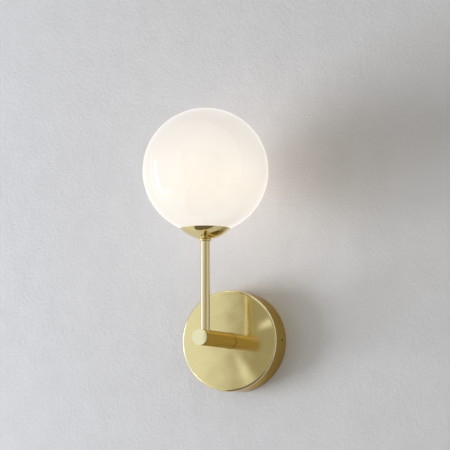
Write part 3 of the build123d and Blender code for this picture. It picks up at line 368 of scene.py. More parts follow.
class Paint:
    """A material and the nodes that make it."""

    def __init__(self, name):
        self.material = bpy.data.materials.new(name)
        self.material.use_nodes = True
        self.tree = self.material.node_tree
        self.tree.nodes.clear()

    def add(self, kind, values=None, output=0, **settings):
        """Adds a node of that kind, and sets its settings, then its sockets' values or links."""
        node = self.tree.nodes.new(kind)
        for key, value in settings.items():
            setattr(node, key, value)
        for key, value in (values or {}).items():
            if isinstance(value, Quantity):
                self.tree.links.new(value.socket, node.inputs[key])
            else:
                socket = node.inputs[key]
                if socket.type == "RGBA" and len(value) == 3:
                    value = (*value, 1.0)
                socket.default_value = value
        return Quantity(self, node.outputs[output])

    def place(self):
        """Object coordinates."""
        return self.add("ShaderNodeTexCoord", output="Object")

    def normal(self):
        """The surface's own direction."""
        return self.add("ShaderNodeNewGeometry", output="Normal")

    def vector(self, operation, *values, output=0):
        return self.add("ShaderNodeVectorMath", dict(enumerate(values)), output=output, operation=operation)

    def scaled(self, vector, share):
        return self.add("ShaderNodeVectorMath", {"Vector": vector, "Scale": share}, operation="SCALE")

    def parts(self, vector):
        """The three numbers of a vector."""
        split = self.add("ShaderNodeSeparateXYZ", {0: vector})
        return [Quantity(self, socket) for socket in split.socket.node.outputs]

    def joined(self, x, y, z):
        return self.add("ShaderNodeCombineXYZ", {"X": x, "Y": y, "Z": z})

    def noise(self, scale, vector=None, detail=2.0, roughness=0.5, output="Fac"):
        """A noise with about that many grains in each unit of the vector, or else in each metre."""
        values = {"Vector": vector or self.place(), "Scale": scale, "Detail": detail, "Roughness": roughness}
        return self.add("ShaderNodeTexNoise", values, output=output)

    def waves(self, scale, size):
        """A slow wandering of a direction, by up to half the size each way."""
        wave = self.noise(scale, detail=1.0, output="Color")
        return self.scaled(self.vector("SUBTRACT", wave, (0.5, 0.5, 0.5)), size)

    def about(self, centre, axis):
        """The way from the centre, the height along the axis and the distance from it."""
        reach = self.vector("SUBTRACT", self.place(), centre)
        height = self.vector("DOT_PRODUCT", reach, axis, output="Value")
        distance = self.vector("LENGTH", self.vector("CROSS_PRODUCT", axis, reach), output="Value")
        return reach, height, distance

    def range(self, value, low, high, to_low=0.0, to_high=1.0, smooth=False):
        """The value carried from one range to another, and held at its ends."""
        kind = "SMOOTHSTEP" if smooth else "LINEAR"
        values = {"Value": value, "From Min": low, "From Max": high, "To Min": to_low, "To Max": to_high}
        return self.add("ShaderNodeMapRange", values, interpolation_type=kind, clamp=True)

    def mixed(self, share, first, second, blend="MIX"):
        """Two colours mixed."""
        node = self.tree.nodes.new("ShaderNodeMix")
        node.data_type = "RGBA"
        node.blend_type = blend
        for key, value in ((0, share), (6, first), (7, second)):
            if isinstance(value, Quantity):
                self.tree.links.new(value.socket, node.inputs[key])
            else:
                node.inputs[key].default_value = (*value, 1.0) if key else value
        return Quantity(self, node.outputs[2])

    def bump(self, height, strength, distance):
        return self.add("ShaderNodeBump", {"Height": height, "Strength": strength, "Distance": distance})

    def shade(self, **values):
        """Ends the material in one surface, and returns the material."""
        names = {key.replace("_", " ").title().replace("Ior", "IOR"): value for key, value in values.items()}
        self.add_output(self.add("ShaderNodeBsdfPrincipled", names))
        return self.material

    def add_output(self, surface):
        end = self.tree.nodes.new("ShaderNodeOutputMaterial")
        self.tree.links.new(surface.socket, end.inputs["Surface"])

    def front_only(self, surface):
        """Ends the material in a surface that isn't seen from its back, and returns the material."""
        behind = self.add("ShaderNodeNewGeometry", output="Backfacing")
        clear = self.add("ShaderNodeBsdfTransparent")
        self.add_output(self.add("ShaderNodeMixShader", {0: behind, 1: surface, 2: clear}))
        return self.material


def toned(colour, *shares):
    """The colour times one share, or times a share for each of its three parts."""
    return tuple(c * s for c, s in zip(colour, shares * 3 if len(shares) == 1 else shares))


def turned_normal(
    paint, centre, axis, waviness, spread=0.012, crown=0.0, dips=(), tilt=(0.0, 0.0, 0.0), roll=0.0
):
    """The direction of a surface brushed while it turned about an axis. The grooves run round the axis,
    so the surface's direction leans across them by spread x n x (1 + n^6), with n^6 held to 60. n is a
    fine noise of the distance from the axis and the height along it: few grooves are steep. The
    crown leans the direction outwards by crown x distance, with a noise round the axis for streaks along
    the radii. Each dip, which is a direction, a narrowness, a depth and the distances between which it
    grows, leans it back inwards, and the face rolls off over its last millimetres before the roll's
    distance. A tilt leans the whole face, and a slow noise adds the waviness of thin metal."""
    reach, height, distance = paint.about(centre, axis)
    surface = paint.normal()
    around = paint.vector("NORMALIZE", paint.vector("CROSS_PRODUCT", axis, reach))
    across = paint.vector("CROSS_PRODUCT", surface, around)
    groove = paint.noise(16000.0, paint.joined(distance, height, 0.0), detail=1.0)
    n = (groove - 0.5) * 7.0
    square = n * n
    steep = paint.add("ShaderNodeMath", {0: square * square * square, 1: 60.0}, operation="MINIMUM")
    lean = n * (steep + 1.0) * spread
    wave = paint.vector("ADD", paint.waves(55.0, waviness), tilt)
    leaning = paint.vector("ADD", surface, paint.scaled(across, lean))
    if crown:
        outwards = paint.vector("NORMALIZE", paint.vector("SUBTRACT", reach, paint.scaled(axis, height)))
        streaks = (paint.noise(5.0, outwards, detail=3.0) - 0.5) * distance * 0.5
        slope = distance * crown + streaks
        for direction, narrowness, depth, start, end in dips:
            along = paint.vector("DOT_PRODUCT", outwards, direction, output="Value")
            near = paint.add("ShaderNodeMath", {0: (along - 1.0) * narrowness}, operation="EXPONENT")
            slope = slope - near * paint.range(distance, start, end, 0.0, depth, smooth=True)
        slope = slope + paint.range(distance, roll - 0.0032, roll - 0.0016, 0.0, 0.45, smooth=True)
        leaning = paint.vector("ADD", leaning, paint.scaled(outwards, slope))
    return paint.vector("NORMALIZE", paint.vector("ADD", leaning, wave))


def satin_brass(
    name, colour, centre, axis, waviness=0.02, side=(1.0, 1.0, 1.0), painted_joint_shade=None, edge=None, inside=None,
    **leans,
):
    """Brass brushed while it turned, and lacquered: fine rings, faint darker and lighter rings, and a
    few worn patches. Where it faces across the axis its colour is multiplied by the side's, which paints
    shade on the side. A shade line is given as a distance from the axis and a height along it, where two
    parts meet: there a thin dark line of painted shade is drawn. An edge is a pale colour and the height
    of the front: the piece has that colour, a painted highlight, where it turns from its front to its
    side, and the walls of holes further back are darkened with painted shade. The inside of a
    hollow piece, which faces along the axis or towards it, may be left dull as it was pressed."""
    paint = Paint(name)
    reach, height, distance = paint.about(centre, axis)
    rings = paint.noise(1500.0, paint.joined(distance, height, 0.0), detail=3.0)
    patches = paint.noise(22.0, detail=3.0)
    tone = paint.mixed(paint.range(rings, 0.3, 0.7), toned(colour, 0.985, 0.98, 0.97), colour)
    back = paint.vector("DOT_PRODUCT", paint.normal(), axis, output="Value")
    facing = abs(back)
    # Painted shade: where it faces across the axis, the side's colour darkens it
    tone = paint.mixed(paint.range(facing, 0.9, 0.3), tone, paint.mixed(1.0, tone, side, "MULTIPLY"))
    rough = paint.range(patches + rings * 0.2, 0.4, 0.8, 0.07, 0.12)
    if edge:
        pale, front = edge
        behind = paint.range(height, front + 0.002, front + 0.003)
        # Painted highlight: the edge's pale colour where the front turns to the side
        painted_rim_highlight = paint.range(facing, 0.995, 0.93) * paint.range(facing, 0.1, 0.45) * (1.0 - behind)
        tone = paint.mixed(painted_rim_highlight * paint.range(rings, 0.2, 0.5, 0.7, 1.0), tone, pale)
        # Painted shade on the walls of holes that lie further back than the front
        tone = paint.mixed(behind * paint.range(back, -0.2, -0.5) * 0.9, tone, PAINTED_SHADE)
        rough = rough + painted_rim_highlight * 0.15
    if painted_joint_shade:
        far, high = painted_joint_shade
        gap = paint.vector("LENGTH", paint.joined(distance - far, height - high, 0.0), output="Value")
        # Painted shade: a thin dark line where the two parts meet
        tone = paint.mixed(paint.range(gap, 0.0002, 0.0008, 0.55, 0.0, smooth=True), tone, PAINTED_SHADE)
    tone = paint.mixed(paint.range(patches, 0.42, 0.68) * 0.25, tone, toned(colour, 0.93))
    if inside:
        outwards = paint.vector("SUBTRACT", reach, paint.scaled(axis, height))
        towards = paint.vector("DOT_PRODUCT", paint.normal(), outwards, output="Value") / distance
        faces_in = {0: paint.range(back, 0.2, 0.5), 1: paint.range(towards, -0.2, -0.5)}
        bare = paint.add("ShaderNodeMath", faces_in, operation="MAXIMUM")
        dull = paint.mixed(paint.range(patches, 0.35, 0.65), inside, toned(inside, 0.8))
        tone = paint.mixed(bare, tone, dull)
        rough = rough + bare * paint.range(rings, 0.3, 0.7, 0.2, 0.3)
    return paint.shade(
        base_color=tone,
        metallic=1.0,
        roughness=rough,
        normal=turned_normal(paint, centre, axis, waviness, **leans),
        specular_tint=(0.95, 0.8, 0.52, 1.0),
        coat_weight=paint.range(facing, 0.3, 0.9, 0.08, 0.3),
        coat_roughness=0.12,
        coat_ior=1.5,
    )


def polished_brass(name, colour):
    """Brass with a mirror polish: a faint waviness and a trace of wiping marks."""
    paint = Paint(name)
    marks = paint.noise(260.0, detail=4.0)
    return paint.shade(
        base_color=paint.mixed(paint.range(marks, 0.4, 0.75) * 0.15, colour, toned(colour, 0.9)),
        metallic=1.0,
        roughness=paint.range(marks, 0.35, 0.75, 0.025, 0.07),
        normal=paint.vector("NORMALIZE", paint.vector("ADD", paint.normal(), paint.waves(60.0, 0.01))),
        coat_weight=0.3,
        coat_roughness=0.04,
        coat_ior=1.5,
    )


def raw_brass(name, colour):
    """Plain brass with turning marks and a little tarnish."""
    paint = Paint(name)
    x, y, z = paint.parts(paint.place())
    marks = paint.noise(2600.0, paint.joined(x * 0.3, y, z))
    tarnish = paint.noise(130.0, detail=4.0, roughness=0.6)
    tarnished = toned(colour, 0.72, 0.62, 0.5)
    return paint.shade(
        base_color=paint.mixed(paint.range(tarnish, 0.42, 0.72) * 0.6, colour, tarnished),
        metallic=1.0,
        roughness=paint.range(marks + tarnish * 0.5, 0.4, 1.0, 0.2, 0.42),
        normal=paint.bump(marks, 0.25, 0.00004),
    )


def zinc_steel(name, colour):
    """Zinc-plated steel: a cool sheen with pale and dark spangles and faint drawing marks."""
    paint = Paint(name)
    x, y, z = paint.parts(paint.place())
    spangle = paint.noise(420.0, detail=5.0, roughness=0.62)
    drawn = paint.noise(1900.0, paint.joined(x * 0.12, y, z))
    return paint.shade(
        base_color=paint.mixed(paint.range(spangle, 0.36, 0.66), toned(colour, 0.8), colour),
        metallic=1.0,
        roughness=paint.range(spangle * 0.6 + drawn * 0.4, 0.35, 0.7, 0.22, 0.4),
        normal=paint.bump(drawn + spangle * 0.5, 0.2, 0.00003),
    )


def drawn_metal(name, colour, roughness):
    """Bright drawn or stamped metal, with fine marks."""
    paint = Paint(name)
    marks = paint.noise(1400.0, detail=4.0)
    return paint.shade(
        base_color=paint.mixed(paint.range(marks, 0.35, 0.7), toned(colour, 0.85), colour),
        metallic=1.0,
        roughness=paint.range(marks, 0.3, 0.7, roughness * 0.8, roughness * 1.3),
        normal=paint.bump(marks, 0.15, 0.00003),
    )


def moulded(name, colour, roughness=0.45, depth=0.00003, scale=1500.0, subsurface=0.0):
    """Moulded or fired stuff: a fine grain, and a slight change of tone over the piece."""
    paint = Paint(name)
    grain = paint.noise(scale, detail=3.0)
    cloud = paint.noise(90.0, detail=3.0)
    return paint.shade(
        base_color=paint.mixed(paint.range(cloud, 0.35, 0.7), toned(colour, 0.94), colour),
        roughness=paint.range(grain, 0.3, 0.7, roughness * 0.85, roughness * 1.15),
        normal=paint.bump(grain, 0.3, depth),
        subsurface_weight=subsurface,
        subsurface_scale=0.002,
    )


def opal_glass(name, colour, glow, lamp_height):
    """Cased opal glass lit from inside: a glossy milky body that glows most round the lamp's height,
    with faint clouds where the glass was gathered, and gives less light where it is seen at a slant."""
    paint = Paint(name)
    z = paint.parts(paint.place())[2]
    cloud = paint.noise(14.0)
    ripple = paint.noise(30.0)
    level = abs(z - lamp_height)
    share = paint.range(level, 0.0, 0.085, 1.02, 0.93, smooth=True)
    share = share * paint.range(cloud, 0.35, 0.65, 0.985, 1.015)
    slant = paint.add("ShaderNodeLayerWeight", {"Blend": 0.5}, output="Facing")
    share = share * paint.range(slant, 0.05, 0.8, 1.0, 0.85)
    warm = paint.mixed(paint.range(level, 0.0, 0.08), (1.03, 0.995, 0.95), (0.99, 0.98, 0.985))
    light = paint.mixed(1.0, glow, warm, "MULTIPLY")
    return paint.shade(
        base_color=paint.mixed(paint.range(cloud, 0.35, 0.65), toned(colour, 0.985), colour),
        roughness=0.07,
        ior=1.5,
        normal=paint.bump(ripple, 0.12, 0.0004),
        emission_color=paint.mixed(1.0, light, paint.joined(share, share, share), "MULTIPLY"),
        emission_strength=1.0,
        coat_weight=0.25,
        coat_roughness=0.03,
    )


def frosted_diffuser(name):
    """The frosted tube of a lit lamp: brightest beside the chips, softer at its dome."""
    paint = Paint(name)
    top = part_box("lamp_core")[1].z
    z = paint.parts(paint.place())[2]
    share = paint.range(z, top, top + 0.012, 1.0, 0.72, smooth=True)
    grain = paint.noise(2500.0)
    return paint.shade(
        base_color=paint.mixed(grain, (0.5, 0.49, 0.46), (0.56, 0.55, 0.52)),
        roughness=0.5,
        normal=paint.bump(grain, 0.25, 0.00003),
        emission_color=paint.mixed(share, (0.22, 0.19, 0.14), (0.45, 0.4, 0.31)),
        emission_strength=1.0,
    )


def chip_board(name):
    """The lamp's column: a white board with yellow chips standing out of its sides."""
    paint = Paint(name)
    half = half_width("lamp_core")
    x, y = paint.parts(paint.vector("SUBTRACT", paint.place(), tuple(middle("lamp_core"))))[:2]
    out = paint.add("ShaderNodeMath", {0: abs(x), 1: abs(y)}, operation="MAXIMUM")
    chip = paint.range(out, half - 0.00045, half - 0.00035)
    grain = paint.noise(3000.0)
    board = paint.mixed(grain, (0.8, 0.8, 0.78), (0.88, 0.88, 0.86))
    phosphor = paint.mixed(grain, (0.86, 0.62, 0.14), (0.95, 0.76, 0.24))
    return paint.shade(
        base_color=paint.mixed(chip, board, phosphor),
        roughness=0.4,
        emission_color=paint.mixed(chip, (0.0, 0.0, 0.0), (0.9, 0.72, 0.4)),
        emission_strength=1.0,
        normal=paint.bump(grain, 0.2, 0.00002),
    )


def insulation(name, colour, stripe=None):
    """Extruded insulation with a soft shine. A stripe lies along the wire where it is near the middle
    plane of its loop."""
    paint = Paint(name)
    grain = paint.noise(900.0, detail=3.0)
    tone = paint.mixed(paint.range(grain, 0.35, 0.7), toned(colour, 0.85), colour)
    if stripe:
        off_plane = abs(paint.parts(paint.place())[2])
        tone = paint.mixed(paint.range(off_plane, 0.0005, 0.0006), stripe, tone)
    return paint.shade(
        base_color=tone,
        roughness=paint.range(grain, 0.3, 0.7, 0.3, 0.42),
        normal=paint.bump(grain, 0.2, 0.00003),
    )


def plaster(name, colour):
    """The wall: painted plaster with fine grain and slow hollows. Its back isn't seen, so that the
    piece can be looked at from behind."""
    paint = Paint(name)
    fine = paint.noise(260.0, detail=4.0, roughness=0.6)
    slow = paint.noise(26.0, detail=3.0, roughness=0.55)
    values = {
        "Base Color": paint.mixed(paint.range(slow, 0.35, 0.68), toned(colour, 0.97), colour),
        "Roughness": 0.85,
        "Normal": paint.bump(fine + slow * 1.6, 0.5, 0.0011),
        "Specular IOR Level": 0.2,
    }
    return paint.front_only(paint.add("ShaderNodeBsdfPrincipled", values))


def pale_floor(name, colour):
    """The floor: pale and even, and not seen from below."""
    paint = Paint(name)
    cloud = paint.noise(3.0, detail=4.0)
    tone = paint.mixed(paint.range(cloud, 0.35, 0.7), toned(colour, 0.96), colour)
    return paint.front_only(paint.add("ShaderNodeBsdfPrincipled", {"Base Color": tone, "Roughness": 0.7}))


# ======== The pieces ========


def sizes():
    return bpy.context.scene.sconce_sizes


def finishes():
    return bpy.context.scene.sconce_finishes


class SCONCE_OT_globe(bpy.types.Operator):
    """Blows the opal glass globe and its neck"""

    bl_idname = "sconce.globe"
    bl_label = "Globe"

    def execute(self, context):
        s = sizes()
        low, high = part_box("glass_globe")
        radius = half_width("glass_globe") - s.fit_gap / 2
        centre = high.z - half_width("glass_globe")
        inside = radius - s.glass_wall
        neck = s.neck_bore + s.neck_wall
        outer = arc(centre, radius, asin(neck / radius), pi, steps=120)
        inner = arc(centre, inside, pi, asin(s.neck_bore / inside), steps=110)
        foot_top, rounding = low.z + 0.004, 0.0006
        foot = softened(
            [(s.neck_bore, foot_top), (s.neck_bore, low.z), (neck, low.z), (neck, foot_top)],
            [0, rounding, rounding, 0],
        )
        profile = without_repeats(np.vstack([outer, inner, foot]))
        material = opal_glass("opal_glass", finishes().opal, finishes().glow, middle("lamp_core").z)
        add_turned("globe_glass", profile, STEM_AXIS, UP, material, "globe", "glass_globe", "opal_glass")
        return {"FINISHED"}


class SCONCE_OT_cup(bpy.types.Operator):
    """Spins the polished cup and turns the ring under it"""

    bl_idname = "sconce.cup"
    bl_label = "Cup and collar"

    def execute(self, context):
        s = sizes()
        material = polished_brass("polished_brass", finishes().polished)
        low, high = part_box("shade_cup")
        rim, depth, land = half_width("shade_cup"), high.z - low.z, s.cup_land
        rise = (rim**2 - land**2 - depth**2) / (2 * depth)
        bowl = sqrt(rim**2 + rise**2)
        centre = high.z + rise
        inside = bowl - s.cup_wall
        bore = half_width("stem_nipple") + 2 * s.fit_gap
        outer = arc(centre, bowl, asin(land / bowl), asin(rim / bowl), steps=60)
        inner_rim = sqrt(inside**2 - rise**2)
        inner_land = sqrt(inside**2 - (centre - low.z - s.cup_wall) ** 2)
        inner = arc(centre, inside, asin(inner_rim / inside), asin(inner_land / inside), steps=50)
        lip_edge = 0.0002
        lip = softened([outer[-2], outer[-1], inner[0], inner[1]], [0, lip_edge, lip_edge, 0], steps=5)
        profile = without_repeats(
            np.vstack([[(bore, low.z)], outer[:-2], lip, inner[2:], [(bore, low.z + s.cup_wall)]])
        )
        add_turned("cup_shell", profile, STEM_AXIS, UP, material, "root", "shade_cup", "polished_brass")
        low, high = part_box("stem_collar")
        outside, seat = half_width("stem_collar"), half_width("stem_tube") + s.fit_gap
        fine, bead = 0.0001, 0.00105
        profile = softened(
            [
                (seat, low.z), (outside, low.z), (outside, high.z), (bore, high.z),
                (bore, low.z + s.collar_seat), (seat, low.z + s.collar_seat),
            ],
            [fine, bead, bead, fine, fine, 0],
            steps=10,
        )
        add_turned("collar_ring", profile, STEM_AXIS, UP, material, "root", "stem_collar", "polished_brass")
        return {"FINISHED"}


class SCONCE_OT_stem(bpy.types.Operator):
    """Draws the upright tube"""

    bl_idname = "sconce.stem"
    bl_label = "Stem"

    def execute(self, context):
        s = sizes()
        low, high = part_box("stem_tube")
        outside = half_width("stem_tube")
        bore = outside - s.tube_wall
        profile = softened(
            [(bore, low.z), (outside, low.z), (outside, high.z), (bore, high.z)], s.broken_edge
        )
        # A thin line of painted shade on the stem just under the collar
        painted_joint_shade = (outside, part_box("stem_collar")[0].z)
        material = satin_brass("stem_brass", finishes().stem, STEM_AXIS, UP, waviness=0.006, painted_joint_shade=painted_joint_shade)
        add_turned("stem_pipe", profile, STEM_AXIS, UP, material, "root", "stem_tube", "satin_brass")
        return {"FINISHED"}


class SCONCE_OT_arm(bpy.types.Operator):
    """Turns the arm's end cap, and finishes the arm's tube"""

    bl_idname = "sconce.arm"
    bl_label = "Arm and end cap"

    def execute(self, context):
        s = sizes()
        # A thin line of painted shade on the arm where it meets the canopy
        painted_joint_shade = (half_width("arm_tube"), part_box("arm_tube")[1].y)
        # The arm's deeper brass is painted shade
        brass = satin_brass("arm_brass", finishes().arm, ARM_AXIS, INTO_WALL, waviness=0.01, painted_joint_shade=painted_joint_shade)
        finish_node(brass, "arm_tube")
        # The end disc's paler brass is a painted reflection
        pale = satin_brass(
            "cap_brass", finishes().cap, ARM_AXIS, INTO_WALL, waviness=0.004, tilt=(-0.07, 0.0, 0.0)
        )
        low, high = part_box("arm_end_cap")
        outside = half_width("arm_end_cap")
        groove, spigot = outside - s.cap_depth, half_width("arm_tube") - s.arm_wall - s.fit_gap
        disc_back = low.y + s.cap_disc
        groove_back = disc_back + s.cap_groove
        front_edge, groove_edge = 0.00024, 0.0001
        profile = softened(
            [
                (0, low.y), (outside, low.y), (outside, disc_back), (groove, disc_back),
                (groove, groove_back), (spigot, groove_back), (spigot, high.y), (0, high.y),
            ],
            [0, front_edge, s.broken_edge, groove_edge, 0, 0, s.broken_edge, 0],
        )
        add_turned("arm_end_disc", profile, ARM_AXIS, INTO_WALL, pale, "root", "arm_end_cap", "satin_brass")
        return {"FINISHED"}


class SCONCE_OT_canopy(bpy.types.Operator):
    """Finishes the canopy and its two side screws"""

    bl_idname = "sconce.canopy"
    bl_label = "Canopy"

    def execute(self, context):
        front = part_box("canopy")[0].y
        dips = [
            ((0.93, 0, 0.367), 120.0, 0.08, 0.025, 0.06),
            ((0.45, 0, -0.89), 45.0, 0.075, 0.008, 0.045),
            ((0.93, 0, -0.367), 400.0, 0.015, 0.01, 0.05),
        ]
        # On the canopy the side's colour is painted shade on its side, the edge's pale colour a painted
        # highlight on its rim, and a thin line of painted shade rings the arm
        material = satin_brass(
            "canopy_brass", finishes().satin, ARM_AXIS, INTO_WALL, waviness=0.022,
            side=(0.76, 0.62, 0.36), painted_joint_shade=(half_width("arm_tube"), front),
            edge=((0.98, 0.9, 0.66), front), inside=finishes().raw, crown=0.4, dips=dips,
            roll=half_width("canopy"),
        )
        finish_node(material, "canopy")
        finish_node(drawn_metal("screw_steel", SCREW_STEEL, roughness=0.4), "side_screws")
        return {"FINISHED"}


class SCONCE_OT_rods(bpy.types.Operator):
    """Cuts the threads of the two hollow rods"""

    bl_idname = "sconce.rods"
    bl_label = "Threaded rods"

    def execute(self, context):
        pitch = sizes().thread_pitch
        material = zinc_steel("rod_zinc", finishes().zinc)
        low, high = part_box("stem_nipple")
        rod = threaded(high.z - low.z, half_width("stem_nipple"), bore=0.0028, pitch=pitch, sections=72)
        rod = rod + np.array((STEM.x, STEM.y, low.z))
        add_piece("stem_rod", rod, material, "root", "stem_nipple", "zinc_steel", sharp=50)
        low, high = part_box("arm_nipple")
        rod = threaded(high.y - low.y, half_width("arm_nipple"), bore=0.0035, pitch=pitch, sections=80)
        rod = np.stack([rod[..., 0], -rod[..., 2] + high.y, rod[..., 1]], -1)
        add_piece("arm_rod", rod, material, "root", "arm_nipple", "zinc_steel", sharp=50)
        return {"FINISHED"}


class SCONCE_OT_seat(bpy.types.Operator):
    """Finishes the globe's seat: gallery, spring ring and soft seal"""

    bl_idname = "sconce.seat"
    bl_label = "Globe seat"

    def execute(self, context):
        raw = raw_brass("gallery_brass", finishes().raw)
        finish_node(raw, "shade_gallery", "stem_socket", "arm_rear_plug")
        finish_node(drawn_metal("spring_steel", SPRING_STEEL, roughness=0.22), "globe_spring")
        finish_node(moulded("seal_silicone", SILICONE, roughness=0.6, subsurface=0.2), "globe_seal")
        return {"FINISHED"}


class SCONCE_OT_holder(bpy.types.Operator):
    """Finishes the lamp holder and what clamps it"""

    bl_idname = "sconce.holder"
    bl_label = "Lamp holder"

    def execute(self, context):
        zinc = zinc_steel("fixing_zinc", finishes().zinc)
        finish_node(
            zinc, "lampholder_bracket", "cup_lock_washer", "cup_lock_nut", "arm_lock_washer", "arm_lock_nut",
            "lampholder_screws",
        )
        ceramic = moulded("ceramic", finishes().ceramic, roughness=0.5, depth=0.00005, scale=2200.0)
        finish_node(ceramic, "lampholder_body")
        finish_node(drawn_metal("contact_metal", CONTACT_METAL, roughness=0.25), "lampholder_contacts")
        return {"FINISHED"}


class SCONCE_OT_lamp(bpy.types.Operator):
    """Finishes the lit lamp"""

    bl_idname = "sconce.lamp"
    bl_label = "Lamp"

    def execute(self, context):
        finish_node(moulded("lamp_plastic", LAMP_PLASTIC, roughness=0.35), "lamp_base")
        finish_node(drawn_metal("pin_metal", PIN_METAL, roughness=0.2), "lamp_pins")
        finish_node(frosted_diffuser("frosted_tube"), "lamp_diffuser")
        finish_node(chip_board("chip_board"), "lamp_core")
        return {"FINISHED"}


class SCONCE_OT_wiring(bpy.types.Operator):
    """Finishes the wall bracket, the terminals, the earth parts and the three wires"""

    bl_idname = "sconce.wiring"
    bl_label = "Wiring"

    def execute(self, context):
        zinc = zinc_steel("bracket_zinc", finishes().zinc)
        finish_node(zinc, "wall_bracket", "terminal_screws", "block_screw")
        white = moulded("terminal_plastic", TERMINAL_PLASTIC, roughness=0.42)
        finish_node(white, "terminal_block", "nipple_bush")
        finish_node(raw_brass("terminal_brass", finishes().raw), "terminal_tubes", "earth_screw")
        finish_node(drawn_metal("tag_metal", TAG_METAL, roughness=0.28), "earth_tag", "earth_ring")
        finish_node(insulation("brown_insulation", BROWN), "live_wire")
        finish_node(insulation("blue_insulation", BLUE), "neutral_wire")
        finish_node(insulation("earth_insulation", GREEN, stripe=YELLOW), "earth_wire")
        return {"FINISHED"}


# ======== The stage ========


def flat_sheet(name, rectangle, hole, material):
    """A flat sheet as rings of faces, from a round hole out to a rectangle, which is its middle and the
    ways from there to two of its edges. Each ray from the middle ends where it meets the rectangle. A
    hole of no radius makes a whole sheet."""
    origin, u, v = (np.array(c, float) for c in rectangle)
    half_u, half_v = np.linalg.norm(u), np.linalg.norm(v)
    a = np.arange(SHEET_SIDES) * TURN / SHEET_SIDES
    c, s = np.cos(a), np.sin(a)
    reach = np.minimum(half_u / np.maximum(abs(c), 1e-9), half_v / np.maximum(abs(s), 1e-9))
    distance = hole + np.linspace(0, 1, SHEET_RINGS)[:, None] ** 2 * (reach - hole)
    points = origin + (distance * c)[..., None] * (u / half_u) + (distance * s)[..., None] * (v / half_v)
    faces = quads(SHEET_RINGS, SHEET_SIDES)[: (SHEET_RINGS - 1) * SHEET_SIDES]
    mesh = bpy.data.meshes.new(name)
    mesh.from_pydata(points.reshape(-1, 3), [], faces)
    mesh.materials.append(material)
    sheet = bpy.data.objects.new(name, mesh)
    bpy.context.scene.collection.objects.link(sheet)
    return sheet


def soft_light(name, place, target, width, height, radiance, colour):
    """An even rectangular light that faces its target: power = radiance x pi x width x height."""
    data = bpy.data.lights.new(name, "AREA")
    data.shape = "RECTANGLE"
    data.size, data.size_y = width, height
    data.energy = radiance * pi * width * height
    data.color = colour
    light = bpy.data.objects.new(name, data)
    light.location = place
    light.rotation_euler = (Vector(target) - Vector(place)).to_track_quat("-Z", "Y").to_euler()
    light.visible_camera = False
    bpy.context.scene.collection.objects.link(light)
    return light


def soft_panel(name, place, target, width, height, fade, dim, bright, brightest):
    """A bright sheet that faces its target. From its right-hand edge, seen from the target, its light
    goes from dim to bright over the width of the fade, and on to brightest at its left-hand edge."""
    paint = Paint(name)
    towards = (Vector(target) - Vector(place)).normalized()
    left = Vector((0, 0, 1)).cross(towards).normalized()
    up = towards.cross(left)
    reach = paint.vector("SUBTRACT", paint.place(), place)
    across = paint.vector("DOT_PRODUCT", reach, tuple(left), output="Value")
    edge = -width / 2
    light = paint.mixed(paint.range(across, edge, edge + fade, smooth=True), dim, bright)
    light = paint.mixed(paint.range(across, edge + fade, width / 2), light, brightest)
    front = 1 - paint.add("ShaderNodeNewGeometry", output="Backfacing")
    paint.add_output(paint.add("ShaderNodeEmission", {"Color": light, "Strength": front}))
    sheet = flat_sheet(name, (place, left * width / 2, up * height / 2), 0.0, paint.material)
    sheet.visible_camera = sheet.visible_shadow = False
    return sheet


def mirror_card(name, rectangle, colour):
    """An even sheet of a darker part of the room, which only the metal and the glass mirror."""
    paint = Paint(name)
    paint.add_output(paint.add("ShaderNodeEmission", {"Color": colour, "Strength": 1.0}))
    card = flat_sheet(name, rectangle, 0.0, paint.material)
    card.visible_camera = card.visible_diffuse = card.visible_shadow = False


def set_wall_and_floor(p):
    """The wall, which ends just under the canopy's edge, and the floor."""
    wall = plaster("plaster_wall", p.wall_colour)
    hole = half_width("canopy") - 0.001
    flat_sheet("wall_sheet", ((0, 0.0003, 0), (3.2, 0, 0), (0, 0, 2.6)), hole, wall)
    floor = pale_floor("floor_paint", (0.72, 0.71, 0.7))
    flat_sheet("floor_sheet", ((0, -2.0, -p.floor_drop), (3.2, 0, 0), (0, 3.0, 0)), 0.0, floor)


def set_daylight(globe):
    """The daylight at the left, which the metal and the glass mirror as a dimmer window instead."""
    day = soft_light(
        "daylight", (-2.75, -1.285, -0.425), globe, width=1.25, height=1.5, radiance=12.2,
        colour=(0.955, 0.975, 1.0),
    )
    day.visible_glossy = False
    pane = (3.2, 3.5, 5.3)
    window = soft_panel("window", (-2.37, -0.57, -0.1), globe, 0.44, 1.8, 0.1, pane, pane, pane)
    window.visible_diffuse = False


def set_lamp_glow():
    """The lit globe's warm light on the wall and other matt things, from a ball just outside the glass:
    power = 4 x pi^2 x radius^2 x radiance."""
    radiance = 0.22
    glow = bpy.data.lights.new("lamp_glow", "POINT")
    glow.shadow_soft_size = half_width("glass_globe") + 0.0015
    glow.energy = 4 * pi**2 * glow.shadow_soft_size**2 * radiance
    glow.color = (1.0, 0.45, 0.05)
    glow.use_soft_falloff = False
    lamp = bpy.data.objects.new("lamp_glow", glow)
    lamp.location = STEM_AXIS[0], STEM_AXIS[1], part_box("glass_globe")[1].z - half_width("glass_globe")
    lamp.visible_camera = lamp.visible_glossy = False
    bpy.context.scene.collection.objects.link(lamp)


